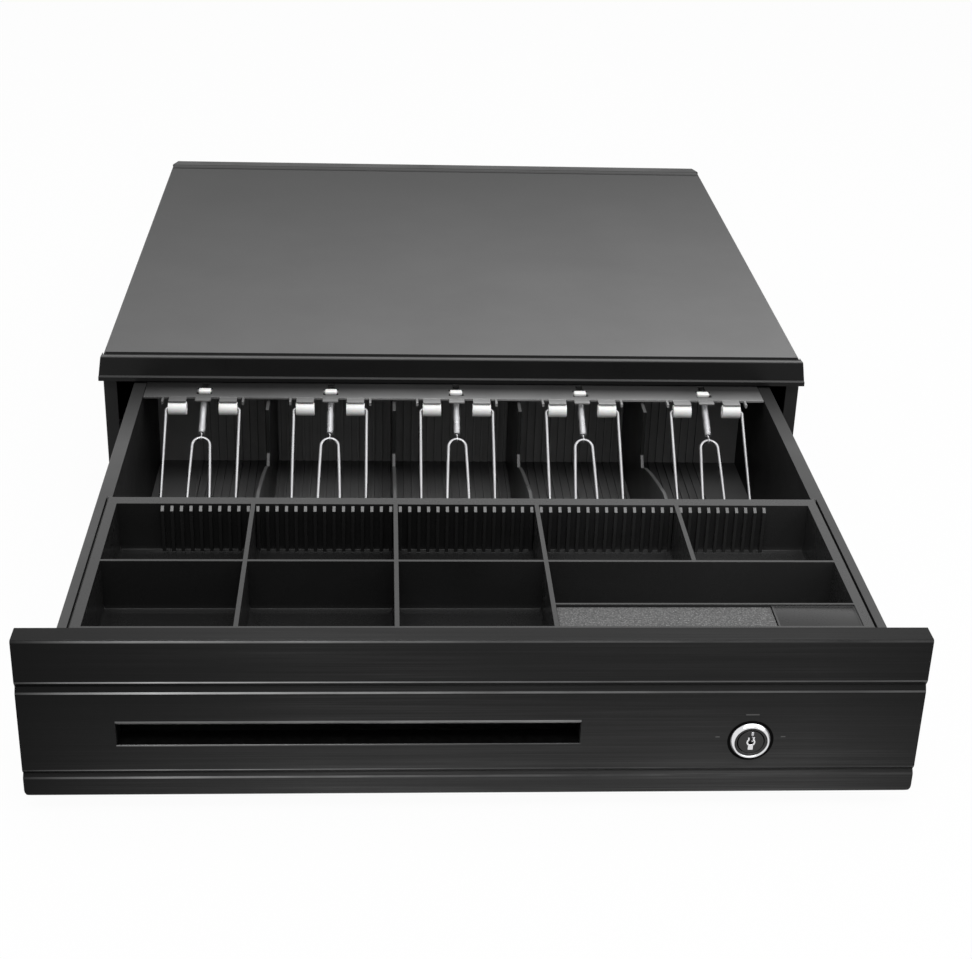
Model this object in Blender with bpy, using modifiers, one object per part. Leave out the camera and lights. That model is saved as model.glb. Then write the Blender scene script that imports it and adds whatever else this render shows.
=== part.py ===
"""A steel cash drawer for a shop counter, drawn with its drawer pulled out.

The cabinet is laid out with y = 0 on its front edge and +y to the back. The drawer is laid out as if
it were shut, in the cabinet's own coordinates, and its parent empty then carries it out by TRAVEL.
All sizes are metres.
"""

import math

import bmesh
import bpy
from mathutils import Matrix, Vector

# Overall sizes
CABINET_WIDTH = 0.410
CABINET_DEPTH = 0.402
CABINET_TOP = 0.106
TRAVEL = 0.281
STEEL = 0.0010
GAP = 0.0003
OVERRUN = 0.010

# Feet
FOOT_HEIGHT = 0.008
FOOT_RADIUS = 0.009
FOOT_WAIST = 0.0015
FOOT_INSET = 0.028

# Cabinet shell
BEND_RADIUS = 0.0020
JAMB_WIDTH = 0.0066
BOTTOM_RETURN = 0.012
BASE_SLOT_LENGTH = 0.012

# Front trim
TRIM_LIP_Z = 0.0918
TRIM_STRIP = 0.0055
TRIM_FRONT = 0.0030
TRIM_LIP_OUT = 0.0014
TRIM_LIP_HEIGHT = 0.0024
TRIM_WALL = 0.0020
TRIM_OVERHANG = 0.0022
TRIM_END_DEPTH = 0.0070
TRIM_TONGUE = 0.011
TRIM_FILLET = 0.0009

# Rear trim
REAR_TRIM_DEPTH = 0.0110
REAR_TRIM_THICK = 0.0027
REAR_SKIRT_DROP = 0.016
REAR_CHAMFER_X = 0.0030
REAR_CHAMFER_Y = 0.0090

# Telescopic slides
SLIDE_Z = 0.040
SLIDE_HALF_HEIGHT = 0.015
SLIDE_SHEET = 0.0012
SLIDE_WIDTH = 0.0125
SLIDE_LIP = 0.0080
BRACKET_LENGTH = 0.016
BRACKET_HEIGHT = 0.022
MIDDLE_LENGTH = 0.300
MIDDLE_SHARE = 0.5

# Drawer pan
PAN_HALF_WIDTH = 0.1847
PAN_FLOOR_Z = 0.017
PAN_REAR = 0.340

# Fascia
FASCIA_WIDTH = 0.410
FASCIA_BOTTOM = 0.009
FASCIA_TOP = 0.0913
FASCIA_THICK = 0.0112
FASCIA_REVEAL = 0.0011
FASCIA_CORNER = 0.0030
FASCIA_CHAMFER = 0.0007
GROOVE_TOP_Z = 0.0696
GROOVE_TOP_HEIGHT = 0.0055
GROOVE_LOW_Z = 0.0228
GROOVE_LOW_HEIGHT = 0.0040
GROOVE_DEPTH = 0.0016

# Media slot
SLOT_LEFT = -0.1616
SLOT_RIGHT = 0.0475
SLOT_Z = 0.0418
SLOT_HEIGHT = 0.0100
SLOT_BEVEL = 0.0015

# Lock
LOCK_X = 0.1265
LOCK_Z = 0.0378
LOCK_BEZEL_RADIUS = 0.0095
LOCK_BEZEL_THICK = 0.0016
LOCK_BARREL_RADIUS = 0.0083
LOCK_BARREL_LENGTH = 0.0235
PLUG_RADIUS = 0.0060
PLUG_PROUD = 0.0004
KEYWAY_WIDTH = 0.0020
KEYWAY_HEIGHT = 0.0074
KEYWAY_DEPTH = 0.009
NUT_RADIUS = 0.0125
NUT_THICK = 0.0035
CAM_LENGTH = 0.0292
CAM_WIDTH = 0.0080
CAM_THICK = 0.0018
CAM_STEM = 0.0030

# Cash insert, one moulding that fills the pan
RIM_TOP = 0.0905
RIM_THICK = 0.0020
RIM_HALF_WIDTH = 0.1867
INSERT_INNER = 0.1795
INSERT_FLOOR = 0.0022
INSERT_REAR = 0.3375
BILL_REAR = 0.3204
PARTITION_REAR = 0.1294
PARTITION_THICK = 0.0034
FRONT_SILL = 0.0033
TRAY_RECESS = 0.1824

# Ribs that hold the dividers
RIB_PITCH = 0.0048
RIB_COUNT = 65
RIB_WIDTH = 0.0016
RIB_DEPTH = 0.0016
RIB_FLOOR = 0.0010
RIB_HEAD = 0.0040
COIN_RIB_DEPTH = 0.0025
COIN_RIB_HEAD = 0.0012

# Coin tray
TRAY_RIM_HALF = 0.1812
TRAY_INNER = 0.1764
TRAY_WALL = 0.0020
TRAY_FRONT_WALL = 0.0012
TRAY_BOTTOM_Z = 0.0620
TRAY_FLOOR = 0.0020
TRAY_BAR = 0.0072
TRAY_MIDDLE_Y = 0.0630
TRAY_MIDDLE_WALL = 0.0018
TRAY_CORNER = 0.0030
DIVIDER_THICK = 0.0022
DIVIDER_PITCHES = 15
SHELF_REAR = 0.0225
SHELF_LIP = 0.0014
SHELF_DROP = 0.0026
SHELF_THICK = 0.0022
PAD_RIGHT = 0.1372
PAD_THICK = 0.0010
CARD_STEP = 0.0018
TRAY_LIFT = 0.060

# Bill dividers
BILL_SCOOP_Y = 0.2440
BILL_SCOOP_LOW_Z = 0.0560
BILL_SCOOP_HIGH_Z = 0.0790
BILL_SCOOP_END_Y = 0.1600
BILL_TOP_DROP = 0.0016
BILL_ARC_STEPS = 8

# Clip rail and its five clips
CLIP_PITCH = 0.0725
CLIP_COUNT = 5
RAIL_TOP = 0.0912
RAIL_SHEET = 0.0012
RAIL_HALF_WIDTH = 0.1790
PIVOT_Y = 0.2520
PIVOT_Z = 0.0859
BARREL_RADIUS = 0.00375
BARREL_LENGTH = 0.0105
BARREL_INNER_X = 0.0091
WIRE_RADIUS = 0.0008
BORE_RADIUS = 0.00115
TAB_HEIGHT = 0.0070
TAB_WIDTH = 0.0080
TAB_REACH = 0.0015
EAR_REACH = 0.0030
EAR_DROP = 0.0050
TONGUE_HALF = 0.0044
TONGUE_REACH = 0.0040
TONGUE_SLOT = 0.0092
TONGUE_SLOT_Y = 0.2605
HOOK_HOLE = 0.0070
HOOK_HOLE_HALF = 0.0019
BEAD_AT = 0.0070
BEAD_RADIUS = 0.0017
BEAD_LENGTH = 0.0096

# Wire bail
BAIL_HALF_WIDTH = 0.0208
BAIL_LENGTH = 0.1030
BAIL_DROP = math.radians(38.0)
BAIL_LOOP_RADIUS = 0.0050
BAIL_LOOP_AT = 0.0190
BAIL_INNER_END = 0.0064
BAIL_CORNER = 0.0016

# Over-centre spring of each clip
SPRING_WIRE = 0.00035
SPRING_RADIUS = 0.0015
SPRING_CURLS = 13
SPRING_STEPS = 8
SPRING_LEAD = 0.0016
SPRING_TOP_Y = 0.2610
SPRING_TOP_Z = 0.0868
SPRING_HOOK = 0.0016
SPRING_HOOK_STEPS = 7

# Latch at the back of the cabinet
STRIKER_Z = 0.034
STRIKER_SHEET = 0.0020
STRIKER_HALF = 0.010
STRIKER_REACH = 0.016
STRIKER_LIP = 0.005
STRIKER_FOOT = 0.010
LEVER_Y = 0.374
LEVER_Z = 0.046
LEVER_HALF = 0.0025
LEVER_BOSS = 0.0045
LEVER_PIN = 0.0020
LEVER_PIN_LENGTH = 0.016
LEVER_ARM = 0.0048
LEVER_TAIL = 0.0185
LEVER_NOSE = 0.0026
LEVER_NOSE_CLEAR = 0.0010
LEVER_TAIL_THICK = 0.0036
LATCH_LIFT = math.radians(14.0)
EAR_SHEET = 0.0015
EAR_X = 0.0050
EAR_HALF_DEPTH = 0.0045
EAR_ABOVE = 0.0055
LATCH_BASE_HALF = 0.014
LATCH_BASE_FRONT = 0.362
SOLENOID_HALF = 0.011
SOLENOID_DEPTH = 0.0165
SOLENOID_Y = 0.3883
SOLENOID_TOP = 0.0355
PLUNGER_RADIUS = 0.0024
PLUNGER_BOTTOM = 0.018
PLUNGER_WELL = 0.0135
CLEVIS_HALF = 0.0055
CLEVIS_DEPTH = 0.0070
CLEVIS_WALL = 0.0018
CLEVIS_PLAY = 0.0014
SWITCH_X = -0.045
SWITCH_WIDTH = 0.020
SWITCH_DEPTH = 0.0105
SWITCH_Y = 0.3525
SWITCH_TOP = 0.026
SWITCH_LEAF = 0.0006
SWITCH_LEAF_RISE = 0.004
SWITCH_LEAF_WIDTH = 0.004

# Ejector
EJECTOR_X = 0.060
EJECTOR_Z = 0.045
EJECTOR_BARREL = 0.008
EJECTOR_BARREL_FRONT = 0.356
EJECTOR_ROD = 0.005
EJECTOR_ROD_END = 0.382
EJECTOR_CAP = 0.007
EJECTOR_CAP_LENGTH = 0.005
EJECTOR_WELL = 0.392

# Cable grommet
GROMMET_X = -0.120
GROMMET_Z = 0.030
GROMMET_NECK = 0.0057
GROMMET_FLANGE = 0.0090
GROMMET_BORE = 0.0035
GROMMET_LIP = 0.0017

ROUND = 24
SMALL_ROUND = 16
BORE_SIDES = 8

# Levels and places worked out from the sizes above
BASE_TOP = FOOT_HEIGHT + STEEL
SHELL_BOTTOM = BASE_TOP + GAP
HALF = CABINET_WIDTH / 2
SHELL_REAR = CABINET_DEPTH - STEEL * 4
PAN_FRONT = -FASCIA_REVEAL + GAP
PAN_TOP = RIM_TOP - RIM_THICK - GAP
RIM_UNDER = RIM_TOP - RIM_THICK
INSERT_BOTTOM = PAN_FLOOR_Z + STEEL + GAP
FLOOR_Z = INSERT_BOTTOM + INSERT_FLOOR
FASCIA_BACK = -FASCIA_REVEAL
FASCIA_FACE = FASCIA_BACK - FASCIA_THICK
TRAY_FRONT = PAN_FRONT + STEEL + GAP
TRAY_CELL_FRONT = TRAY_FRONT + TRAY_FRONT_WALL
BAR_REAR = PARTITION_REAR + GAP
BAR_FRONT = BAR_REAR - TRAY_BAR
DIVIDER_PITCH = RIB_PITCH * DIVIDER_PITCHES
RAIL_FRONT = PIVOT_Y + BARREL_RADIUS + GAP
RAIL_UNDER = RAIL_TOP - RAIL_SHEET
TOTAL_FRONT = FASCIA_FACE - LOCK_BEZEL_THICK - GAP - TRAVEL
CENTRE_Y = (TOTAL_FRONT + CABINET_DEPTH) / 2

COLLECTION = "pos_cash_drawer"


def clear_scene():
    for obj in list(bpy.data.objects):
        bpy.data.objects.remove(obj, do_unlink=True)


def make_collections():
    parts = bpy.data.collections.new(COLLECTION)
    tools = bpy.data.collections.new("cutters")
    for collection in (parts, tools):
        bpy.context.scene.collection.children.link(collection)
    return parts, tools


def material(name, colour, roughness, metallic=0.0):
    made = bpy.data.materials.new(name)
    made.use_nodes = True
    shader = made.node_tree.nodes["Principled BSDF"]
    shader.inputs["Base Color"].default_value = (*colour, 1.0)
    shader.inputs["Roughness"].default_value = roughness
    shader.inputs["Metallic"].default_value = metallic
    made.diffuse_color = (*colour, 1.0)
    return made


def empty(name, location, parent=None):
    made = bpy.data.objects.new(name, None)
    made.location = location
    made.parent = parent
    PARTS.objects.link(made)
    return made


def add(name, mesh, parent, look, location=(0, 0, 0)):
    """A named sub-part made of one mesh."""
    made = bpy.data.objects.new(name, mesh)
    made.location = location
    made.parent = parent
    mesh.materials.clear()
    mesh.materials.append(look)
    PARTS.objects.link(made)
    return made


def tool(mesh, target):
    """A helper shape in the same coordinates as the piece it cuts or joins."""
    made = bpy.data.objects.new("tool_" + target.name, mesh)
    made.parent = target.parent
    made.location = target.location
    made.rotation_euler = target.rotation_euler
    made.hide_render = True
    made.display_type = "WIRE"
    CUTTERS.objects.link(made)
    return made


def boolean(target, mesh, operation):
    made = target.modifiers.new(operation.lower(), "BOOLEAN")
    made.operation = operation
    made.solver = "EXACT"
    made.object = tool(mesh, target)
    return made


def cut(target, mesh):
    return boolean(target, mesh, "DIFFERENCE")


def fuse(target, mesh):
    return boolean(target, mesh, "UNION")


def finish_mesh(bm, name):
    bmesh.ops.recalc_face_normals(bm, faces=bm.faces)
    mesh = bpy.data.meshes.new(name)
    bm.to_mesh(mesh)
    bm.free()
    return mesh


def box(low, high, name="box"):
    """A box between two corners."""
    low, high = Vector(low), Vector(high)
    bm = bmesh.new()
    bmesh.ops.create_cube(bm, size=1.0)
    bmesh.ops.scale(bm, vec=high - low, verts=bm.verts)
    bmesh.ops.translate(bm, vec=(high + low) / 2, verts=bm.verts)
    return finish_mesh(bm, name)


def rounded_box(low, high, radius, segments, sides, name="box"):
    """A box whose edges along the given sides are rounded: z for upright ones, b for the bottom."""
    low, high = Vector(low), Vector(high)
    bm = bmesh.new()
    bmesh.ops.create_cube(bm, size=1.0)
    bmesh.ops.scale(bm, vec=high - low, verts=bm.verts)
    bmesh.ops.translate(bm, vec=(high + low) / 2, verts=bm.verts)
    middle = (high + low) / 2
    chosen = []
    for edge in bm.edges:
        a, b = (v.co for v in edge.verts)
        upright = abs(a.z - b.z) > abs(a.x - b.x) + abs(a.y - b.y)
        at_bottom = not upright and a.z < middle.z
        if (upright and "z" in sides) or (at_bottom and "b" in sides):
            chosen.append(edge)
    bmesh.ops.bevel(bm, geom=chosen, offset=radius, segments=segments, affect="EDGES", profile=0.5)
    return finish_mesh(bm, name)


AXIS_TURN = {
    "x": Matrix.Rotation(math.pi / 2, 4, "Y"),
    "y": Matrix.Rotation(-math.pi / 2, 4, "X"),
    "z": Matrix.Identity(4),
}


def rod(centre, radius, length, axis, sides=ROUND, name="rod"):
    """A cylinder about its centre."""
    bm = bmesh.new()
    bmesh.ops.create_cone(
        bm, cap_ends=True, segments=sides, radius1=radius, radius2=radius, depth=length
    )
    bmesh.ops.transform(bm, matrix=AXIS_TURN[axis], verts=bm.verts)
    bmesh.ops.translate(bm, vec=centre, verts=bm.verts)
    return finish_mesh(bm, name)


def joined(meshes, name="joined"):
    """Several meshes as one helper, for shapes that don't meet."""
    bm = bmesh.new()
    for mesh in meshes:
        bm.from_mesh(mesh)
    return finish_mesh(bm, name)


PLANE_TURN = {
    "xy": Matrix.Identity(4),
    "xz": Matrix(((1, 0, 0, 0), (0, 0, -1, 0), (0, 1, 0, 0), (0, 0, 0, 1))),
    "yz": Matrix(((0, 0, 1, 0), (1, 0, 0, 0), (0, 1, 0, 0), (0, 0, 0, 1))),
}


def plate(outline, thickness, plane, centre, name="plate"):
    """A flat outline, drawn as a filled 2D curve, as thick as asked about its own plane."""
    curve = bpy.data.curves.new(name, "CURVE")
    curve.dimensions = "2D"
    curve.fill_mode = "BOTH"
    curve.extrude = thickness / 2
    spline = curve.splines.new("POLY")
    spline.points.add(len(outline) - 1)
    for point, (a, b) in zip(spline.points, outline):
        point.co = (a, b, 0, 1)
    spline.use_cyclic_u = True
    holder = bpy.data.objects.new(name, curve)
    bpy.context.scene.collection.objects.link(holder)
    bpy.context.view_layer.update()
    evaluated = holder.evaluated_get(bpy.context.evaluated_depsgraph_get())
    mesh = bpy.data.meshes.new_from_object(evaluated)
    bpy.data.objects.remove(holder, do_unlink=True)
    bpy.data.curves.remove(curve)
    bm = bmesh.new()
    bm.from_mesh(mesh)
    bpy.data.meshes.remove(mesh)
    bmesh.ops.remove_doubles(bm, verts=bm.verts, dist=0.000001)
    bmesh.ops.transform(bm, matrix=PLANE_TURN[plane], verts=bm.verts)
    bmesh.ops.translate(bm, vec=centre, verts=bm.verts)
    return finish_mesh(bm, name)


def fillet(corners, steps=4):
    """An outline from (a, b, radius) corners: each one with a radius becomes an arc."""
    points = []
    count = len(corners)
    for i, (a, b, radius) in enumerate(corners):
        here = Vector((a, b))
        if radius == 0:
            points.append((a, b))
            continue
        before = (Vector(corners[i - 1][:2]) - here).normalized()
        after = (Vector(corners[(i + 1) % count][:2]) - here).normalized()
        half = before.angle(after) / 2
        centre = here + (before + after).normalized() * radius / math.sin(half)
        start = here + before * radius / math.tan(half) - centre
        end = here + after * radius / math.tan(half) - centre
        turn = start.angle_signed(end)
        for k in range(steps + 1):
            angle = -turn * k / steps
            arm = Vector((
                start.x * math.cos(angle) - start.y * math.sin(angle),
                start.x * math.sin(angle) + start.y * math.cos(angle),
            ))
            points.append(tuple(centre + arm))
    return points


def wire(name, points, radius, parent, look, location=(0, 0, 0), resolution=1):
    """A round wire along points, with closed ends."""
    curve = bpy.data.curves.new(name, "CURVE")
    curve.dimensions = "3D"
    curve.bevel_depth = radius
    curve.bevel_resolution = resolution
    curve.use_fill_caps = True
    spline = curve.splines.new("POLY")
    spline.points.add(len(points) - 1)
    for point, place in zip(spline.points, points):
        point.co = (*place, 1)
    curve.materials.append(look)
    made = bpy.data.objects.new(name, curve)
    made.location = location
    made.parent = parent
    PARTS.objects.link(made)
    return made


def turned(name, profile, parent, look, location, axis="z", steps=ROUND):
    """A turned solid: the profile lists (radius, height) down its outer side, from axis to axis."""
    mesh = bpy.data.meshes.new(name)
    edges = [(i, i + 1) for i in range(len(profile) - 1)]
    mesh.from_pydata([(r, 0, h) for r, h in profile], edges, [])
    made = add(name, mesh, parent, look, location)
    made.rotation_euler = AXIS_TURN[axis].to_euler()
    screw = made.modifiers.new("screw", "SCREW")
    screw.steps = steps
    screw.render_steps = steps
    screw.use_merge_vertices = True
    screw.merge_threshold = 0.00001
    return made


def both_sides():
    return (("left", -1), ("right", 1))


# Cabinet pieces


def cabinet_shell():
    """Top and sides bent from one sheet, with returns under the sides and down the front."""
    inner = HALF - STEEL
    top = CABINET_TOP
    bottom = SHELL_BOTTOM
    inside_bend = BEND_RADIUS - STEEL
    corners = [
        (-HALF, bottom, 0),
        (-HALF, top, BEND_RADIUS),
        (HALF, top, BEND_RADIUS),
        (HALF, bottom, 0),
        (HALF - BOTTOM_RETURN, bottom, 0),
        (HALF - BOTTOM_RETURN, bottom + STEEL, 0),
        (inner, bottom + STEEL, 0),
        (inner, top - STEEL, inside_bend),
        (-inner, top - STEEL, inside_bend),
        (-inner, bottom + STEEL, 0),
        (-HALF + BOTTOM_RETURN, bottom + STEEL, 0),
        (-HALF + BOTTOM_RETURN, bottom, 0),
    ]
    sheet = plate(fillet(corners, 3), SHELL_REAR, "xz", (0, SHELL_REAR / 2, 0), "cabinet_shell")
    shell = add("cabinet_shell", sheet, CABINET, STEEL_BLACK)
    jambs = []
    for _, side in both_sides():
        outer_x = side * (HALF - STEEL / 2)
        inner_x = side * (HALF - STEEL - JAMB_WIDTH)
        low = (min(outer_x, inner_x), 0, bottom)
        high = (max(outer_x, inner_x), STEEL, TRIM_LIP_Z - GAP)
        jambs.append(box(low, high))
    fuse(shell, joined(jambs))
    trim_seat = TRIM_STRIP - TRIM_FRONT + GAP
    cut(shell, box(
        (-HALF - OVERRUN, -OVERRUN, TRIM_LIP_Z - GAP),
        (HALF + OVERRUN, trim_seat, top + OVERRUN),
    ))
    cut(shell, box(
        (-HALF - OVERRUN, CABINET_DEPTH - REAR_TRIM_DEPTH - GAP, top - REAR_TRIM_THICK - GAP),
        (HALF + OVERRUN, CABINET_DEPTH + OVERRUN, top + OVERRUN),
    ))
    return shell


def base_plate():
    """Flat bottom sheet, with the keeper slot that the lock's cam drops into."""
    half = HALF - STEEL
    plate_mesh = box((-half, GAP, FOOT_HEIGHT), (half, SHELL_REAR, BASE_TOP))
    base = add("base_plate", plate_mesh, CABINET, STEEL_BLACK)
    cam_y = cam_centre_y()
    cut(base, box(
        (LOCK_X - BASE_SLOT_LENGTH, cam_y - CAM_THICK, FOOT_HEIGHT - OVERRUN),
        (LOCK_X + BASE_SLOT_LENGTH, cam_y + CAM_THICK, BASE_TOP + OVERRUN),
    ))
    return base


def rear_panel():
    half = HALF - STEEL - GAP
    panel_top = CABINET_TOP - REAR_TRIM_THICK - GAP
    mesh = box((-half, SHELL_REAR - STEEL, SHELL_BOTTOM + STEEL + GAP), (half, SHELL_REAR, panel_top))
    panel = add("rear_panel", mesh, CABINET, STEEL_BLACK)
    cut(panel, rod(
        (GROMMET_X, SHELL_REAR, GROMMET_Z), GROMMET_NECK + GAP, OVERRUN, "y"
    ))
    return panel


def front_trim():
    """Moulded strip over the cabinet's front edge: top strip, face, lower lip and two flared ends."""
    top = CABINET_TOP
    rear = TRIM_STRIP - TRIM_FRONT
    lip_front = -TRIM_FRONT - TRIM_LIP_OUT
    lip_top = TRIM_LIP_Z + TRIM_LIP_HEIGHT
    inside = -TRIM_FRONT + TRIM_WALL
    corners = [
        (rear, top, 0),
        (-TRIM_FRONT + TRIM_FILLET, top, TRIM_FILLET),
        (-TRIM_FRONT, lip_top + TRIM_LIP_OUT / 2, 0),
        (lip_front, lip_top, 0),
        (lip_front, TRIM_LIP_Z, 0),
        (rear, TRIM_LIP_Z, 0),
        (rear, TRIM_LIP_Z + TRIM_WALL, 0),
        (inside, TRIM_LIP_Z + TRIM_WALL, 0),
        (inside, top - TRIM_WALL, 0),
        (rear, top - TRIM_WALL, 0),
    ]
    width = 2 * (HALF + TRIM_OVERHANG)
    mesh = plate(fillet(corners, 3), width, "yz", (0, 0, 0), "front_trim")
    trim = add("front_trim", mesh, CABINET, PLASTIC_BLACK)
    tongue_top = top - STEEL - GAP
    fuse(trim, box(
        (-HALF + BEND_RADIUS + STEEL, inside + TRIM_WALL / 4, tongue_top - TRIM_WALL),
        (HALF - BEND_RADIUS - STEEL, TRIM_TONGUE, tongue_top),
    ))
    ends = []
    for _, side in both_sides():
        near = side * (HALF + GAP)
        far = side * (HALF + TRIM_OVERHANG)
        low = (min(near, far), -TRIM_FRONT + TRIM_FILLET, TRIM_LIP_Z + TRIM_FILLET)
        high = (max(near, far), TRIM_END_DEPTH, top - TRIM_FILLET)
        ends.append(box(low, high))
    fuse(trim, joined(ends))
    # The ends flare: the top corner is cut back along a slope
    slope_run = TRIM_OVERHANG - GAP * 2
    for _, side in both_sides():
        outline = [
            (side * (HALF + TRIM_OVERHANG + OVERRUN), TRIM_LIP_Z + TRIM_LIP_HEIGHT),
            (side * (HALF + TRIM_OVERHANG), TRIM_LIP_Z + TRIM_LIP_HEIGHT),
            (side * (HALF + TRIM_OVERHANG - slope_run), top),
            (side * (HALF + TRIM_OVERHANG - slope_run), top + OVERRUN),
            (side * (HALF + TRIM_OVERHANG + OVERRUN), top + OVERRUN),
        ]
        cut(trim, plate(outline, OVERRUN * 4, "xz", (0, 0, 0)))
    return trim


def rear_trim():
    """Flat strip over the back edge with chamfered corners and a skirt behind the rear panel."""
    front = CABINET_DEPTH - REAR_TRIM_DEPTH
    outline = [
        (-HALF, front),
        (HALF, front),
        (HALF, CABINET_DEPTH - REAR_CHAMFER_Y),
        (HALF - REAR_CHAMFER_X, CABINET_DEPTH),
        (-HALF + REAR_CHAMFER_X, CABINET_DEPTH),
        (-HALF, CABINET_DEPTH - REAR_CHAMFER_Y),
    ]
    middle_z = CABINET_TOP - REAR_TRIM_THICK / 2
    mesh = plate(outline, REAR_TRIM_THICK, "xy", (0, 0, middle_z), "rear_trim")
    trim = add("rear_trim", mesh, CABINET, PLASTIC_BLACK)
    fuse(trim, box(
        (-HALF + REAR_CHAMFER_X * 2, SHELL_REAR + GAP, CABINET_TOP - REAR_SKIRT_DROP),
        (HALF - REAR_CHAMFER_X * 2, CABINET_DEPTH - GAP, CABINET_TOP - REAR_TRIM_THICK / 2),
    ))
    return trim


def feet():
    height = FOOT_HEIGHT - GAP
    profile = [
        (0, height),
        (FOOT_RADIUS, height),
        (FOOT_RADIUS, height - FOOT_WAIST),
        (FOOT_RADIUS - FOOT_WAIST, FOOT_WAIST / 2),
        (FOOT_RADIUS - FOOT_WAIST * 2, 0),
        (0, 0),
    ]
    x = HALF - FOOT_INSET
    places = {
        "foot_front_left": (-x, FOOT_INSET, 0),
        "foot_front_right": (x, FOOT_INSET, 0),
        "foot_rear_left": (-x, SHELL_REAR - FOOT_INSET, 0),
        "foot_rear_right": (x, SHELL_REAR - FOOT_INSET, 0),
    }
    for name, place in places.items():
        turned(name, profile, CABINET, RUBBER, place, steps=SMALL_ROUND)


# Telescopic slides: three nested channels a side


def channel(side, web, lip, half_height, start, end, name):
    """A C channel along y: its web stands at x = web and its flanges reach to x = lip."""
    sheet = SLIDE_SHEET
    inward = math.copysign(sheet, lip - web)
    corners = [
        (web, -half_height),
        (lip, -half_height),
        (lip, -half_height + sheet),
        (web + inward, -half_height + sheet),
        (web + inward, half_height - sheet),
        (lip, half_height - sheet),
        (lip, half_height),
        (web, half_height),
    ]
    outline = [(side * x, SLIDE_Z + z) for x, z in corners]
    return plate(outline, end - start, "xz", (0, (start + end) / 2, 0), name)


def slides():
    inner_web = PAN_HALF_WIDTH + GAP
    outer_web = inner_web + SLIDE_WIDTH
    step = SLIDE_SHEET + GAP
    middle_web = outer_web - step * 2
    outer_half = SLIDE_HALF_HEIGHT
    middle_half = outer_half - step
    inner_half = middle_half - step
    slide_start = STEEL * 2
    slide_end = PAN_REAR - GAP
    middle_start = slide_start + SLIDE_SHEET
    wall = HALF - STEEL - GAP
    for name, side in both_sides():
        outer = add(
            "outer_rail_" + name,
            channel(side, outer_web, outer_web - SLIDE_LIP, outer_half, slide_start, slide_end, "rail"),
            CABINET, ZINC,
        )
        brackets = []
        for y in (slide_start + BRACKET_LENGTH * 2, slide_end - BRACKET_LENGTH * 3):
            near = side * (outer_web - SLIDE_SHEET / 2)
            far = side * wall
            low = (min(near, far), y, SLIDE_Z - BRACKET_HEIGHT / 2)
            high = (max(near, far), y + BRACKET_LENGTH, SLIDE_Z + BRACKET_HEIGHT / 2)
            brackets.append(box(low, high))
        fuse(outer, joined(brackets))
        carrier = empty("middle_rail_carrier_" + name, (0, -TRAVEL * MIDDLE_SHARE, 0), CABINET)
        add(
            "middle_rail_" + name,
            channel(
                side, middle_web, middle_web - SLIDE_LIP + step, middle_half,
                middle_start, middle_start + MIDDLE_LENGTH, "rail",
            ),
            carrier, ZINC,
        )
        inner_lip = middle_web - SLIDE_SHEET - GAP
        add(
            "inner_rail_" + name,
            channel(side, inner_web, inner_lip, inner_half, middle_start, slide_end, "rail"),
            DRAWER, ZINC,
        )


# Latch, ejector and switch at the back


def latch_bracket():
    low_z = BASE_TOP + GAP
    mesh = box(
        (-LATCH_BASE_HALF, LATCH_BASE_FRONT, low_z),
        (LATCH_BASE_HALF, LEVER_Y + EAR_HALF_DEPTH + GAP * 2, low_z + EAR_SHEET),
    )
    bracket = add("latch_bracket", mesh, CABINET, ZINC)
    ears = []
    for _, side in both_sides():
        near, far = side * EAR_X, side * (EAR_X + EAR_SHEET)
        corners = [
            (LEVER_Y - EAR_HALF_DEPTH, low_z + EAR_SHEET / 2, 0),
            (LEVER_Y + EAR_HALF_DEPTH, low_z + EAR_SHEET / 2, 0),
            (LEVER_Y + EAR_HALF_DEPTH, LEVER_Z + EAR_ABOVE, EAR_HALF_DEPTH / 2),
            (LEVER_Y - EAR_HALF_DEPTH, LEVER_Z + EAR_ABOVE, EAR_HALF_DEPTH / 2),
        ]
        ears.append(plate(fillet(corners, 4), EAR_SHEET, "yz", ((near + far) / 2, 0, 0)))
    fuse(bracket, joined(ears))
    cut(bracket, rod(
        (0, LEVER_Y, LEVER_Z), LEVER_PIN + GAP, LEVER_PIN_LENGTH + OVERRUN, "x", SMALL_ROUND
    ))
    return bracket


def latch_lever():
    """Hooked lever on a cross pin, drawn lifted: level, its nose holds the striker's lip."""
    lip_front = PAN_REAR + GAP + STRIKER_REACH - STRIKER_SHEET
    nose_back = lip_front - GAP - LEVER_Y
    nose_front = nose_back - LEVER_NOSE
    nose_low = STRIKER_Z + STRIKER_SHEET + LEVER_NOSE_CLEAR - LEVER_Z
    under = STRIKER_Z + STRIKER_SHEET + STRIKER_LIP + LEVER_NOSE_CLEAR - LEVER_Z
    over = under + LEVER_ARM
    tail = LEVER_TAIL_THICK / 2
    corners = [
        (nose_front, nose_low + LEVER_NOSE, 0),
        (nose_back, nose_low, 0),
        (nose_back, under, 0),
        (-LEVER_BOSS, under, 0),
        (0, -LEVER_BOSS, LEVER_BOSS / 2),
        (LEVER_BOSS, -tail, 0),
        (LEVER_TAIL, -tail, tail / 2),
        (LEVER_TAIL, tail, tail / 2),
        (LEVER_BOSS, tail, 0),
        (0, LEVER_BOSS, LEVER_BOSS / 2),
        (-LEVER_BOSS, over, 0),
        (nose_front, over, LEVER_NOSE / 2),
    ]
    pivot = empty("latch_pivot", (0, LEVER_Y, LEVER_Z), CABINET)
    pivot.rotation_euler.x = -LATCH_LIFT
    lever = add(
        "latch_lever", plate(fillet(corners, 3), LEVER_HALF * 2, "yz", (0, 0, 0)), pivot, ZINC
    )
    fuse(lever, rod((0, 0, 0), LEVER_PIN, LEVER_PIN_LENGTH, "x", SMALL_ROUND))
    return lever


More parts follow.
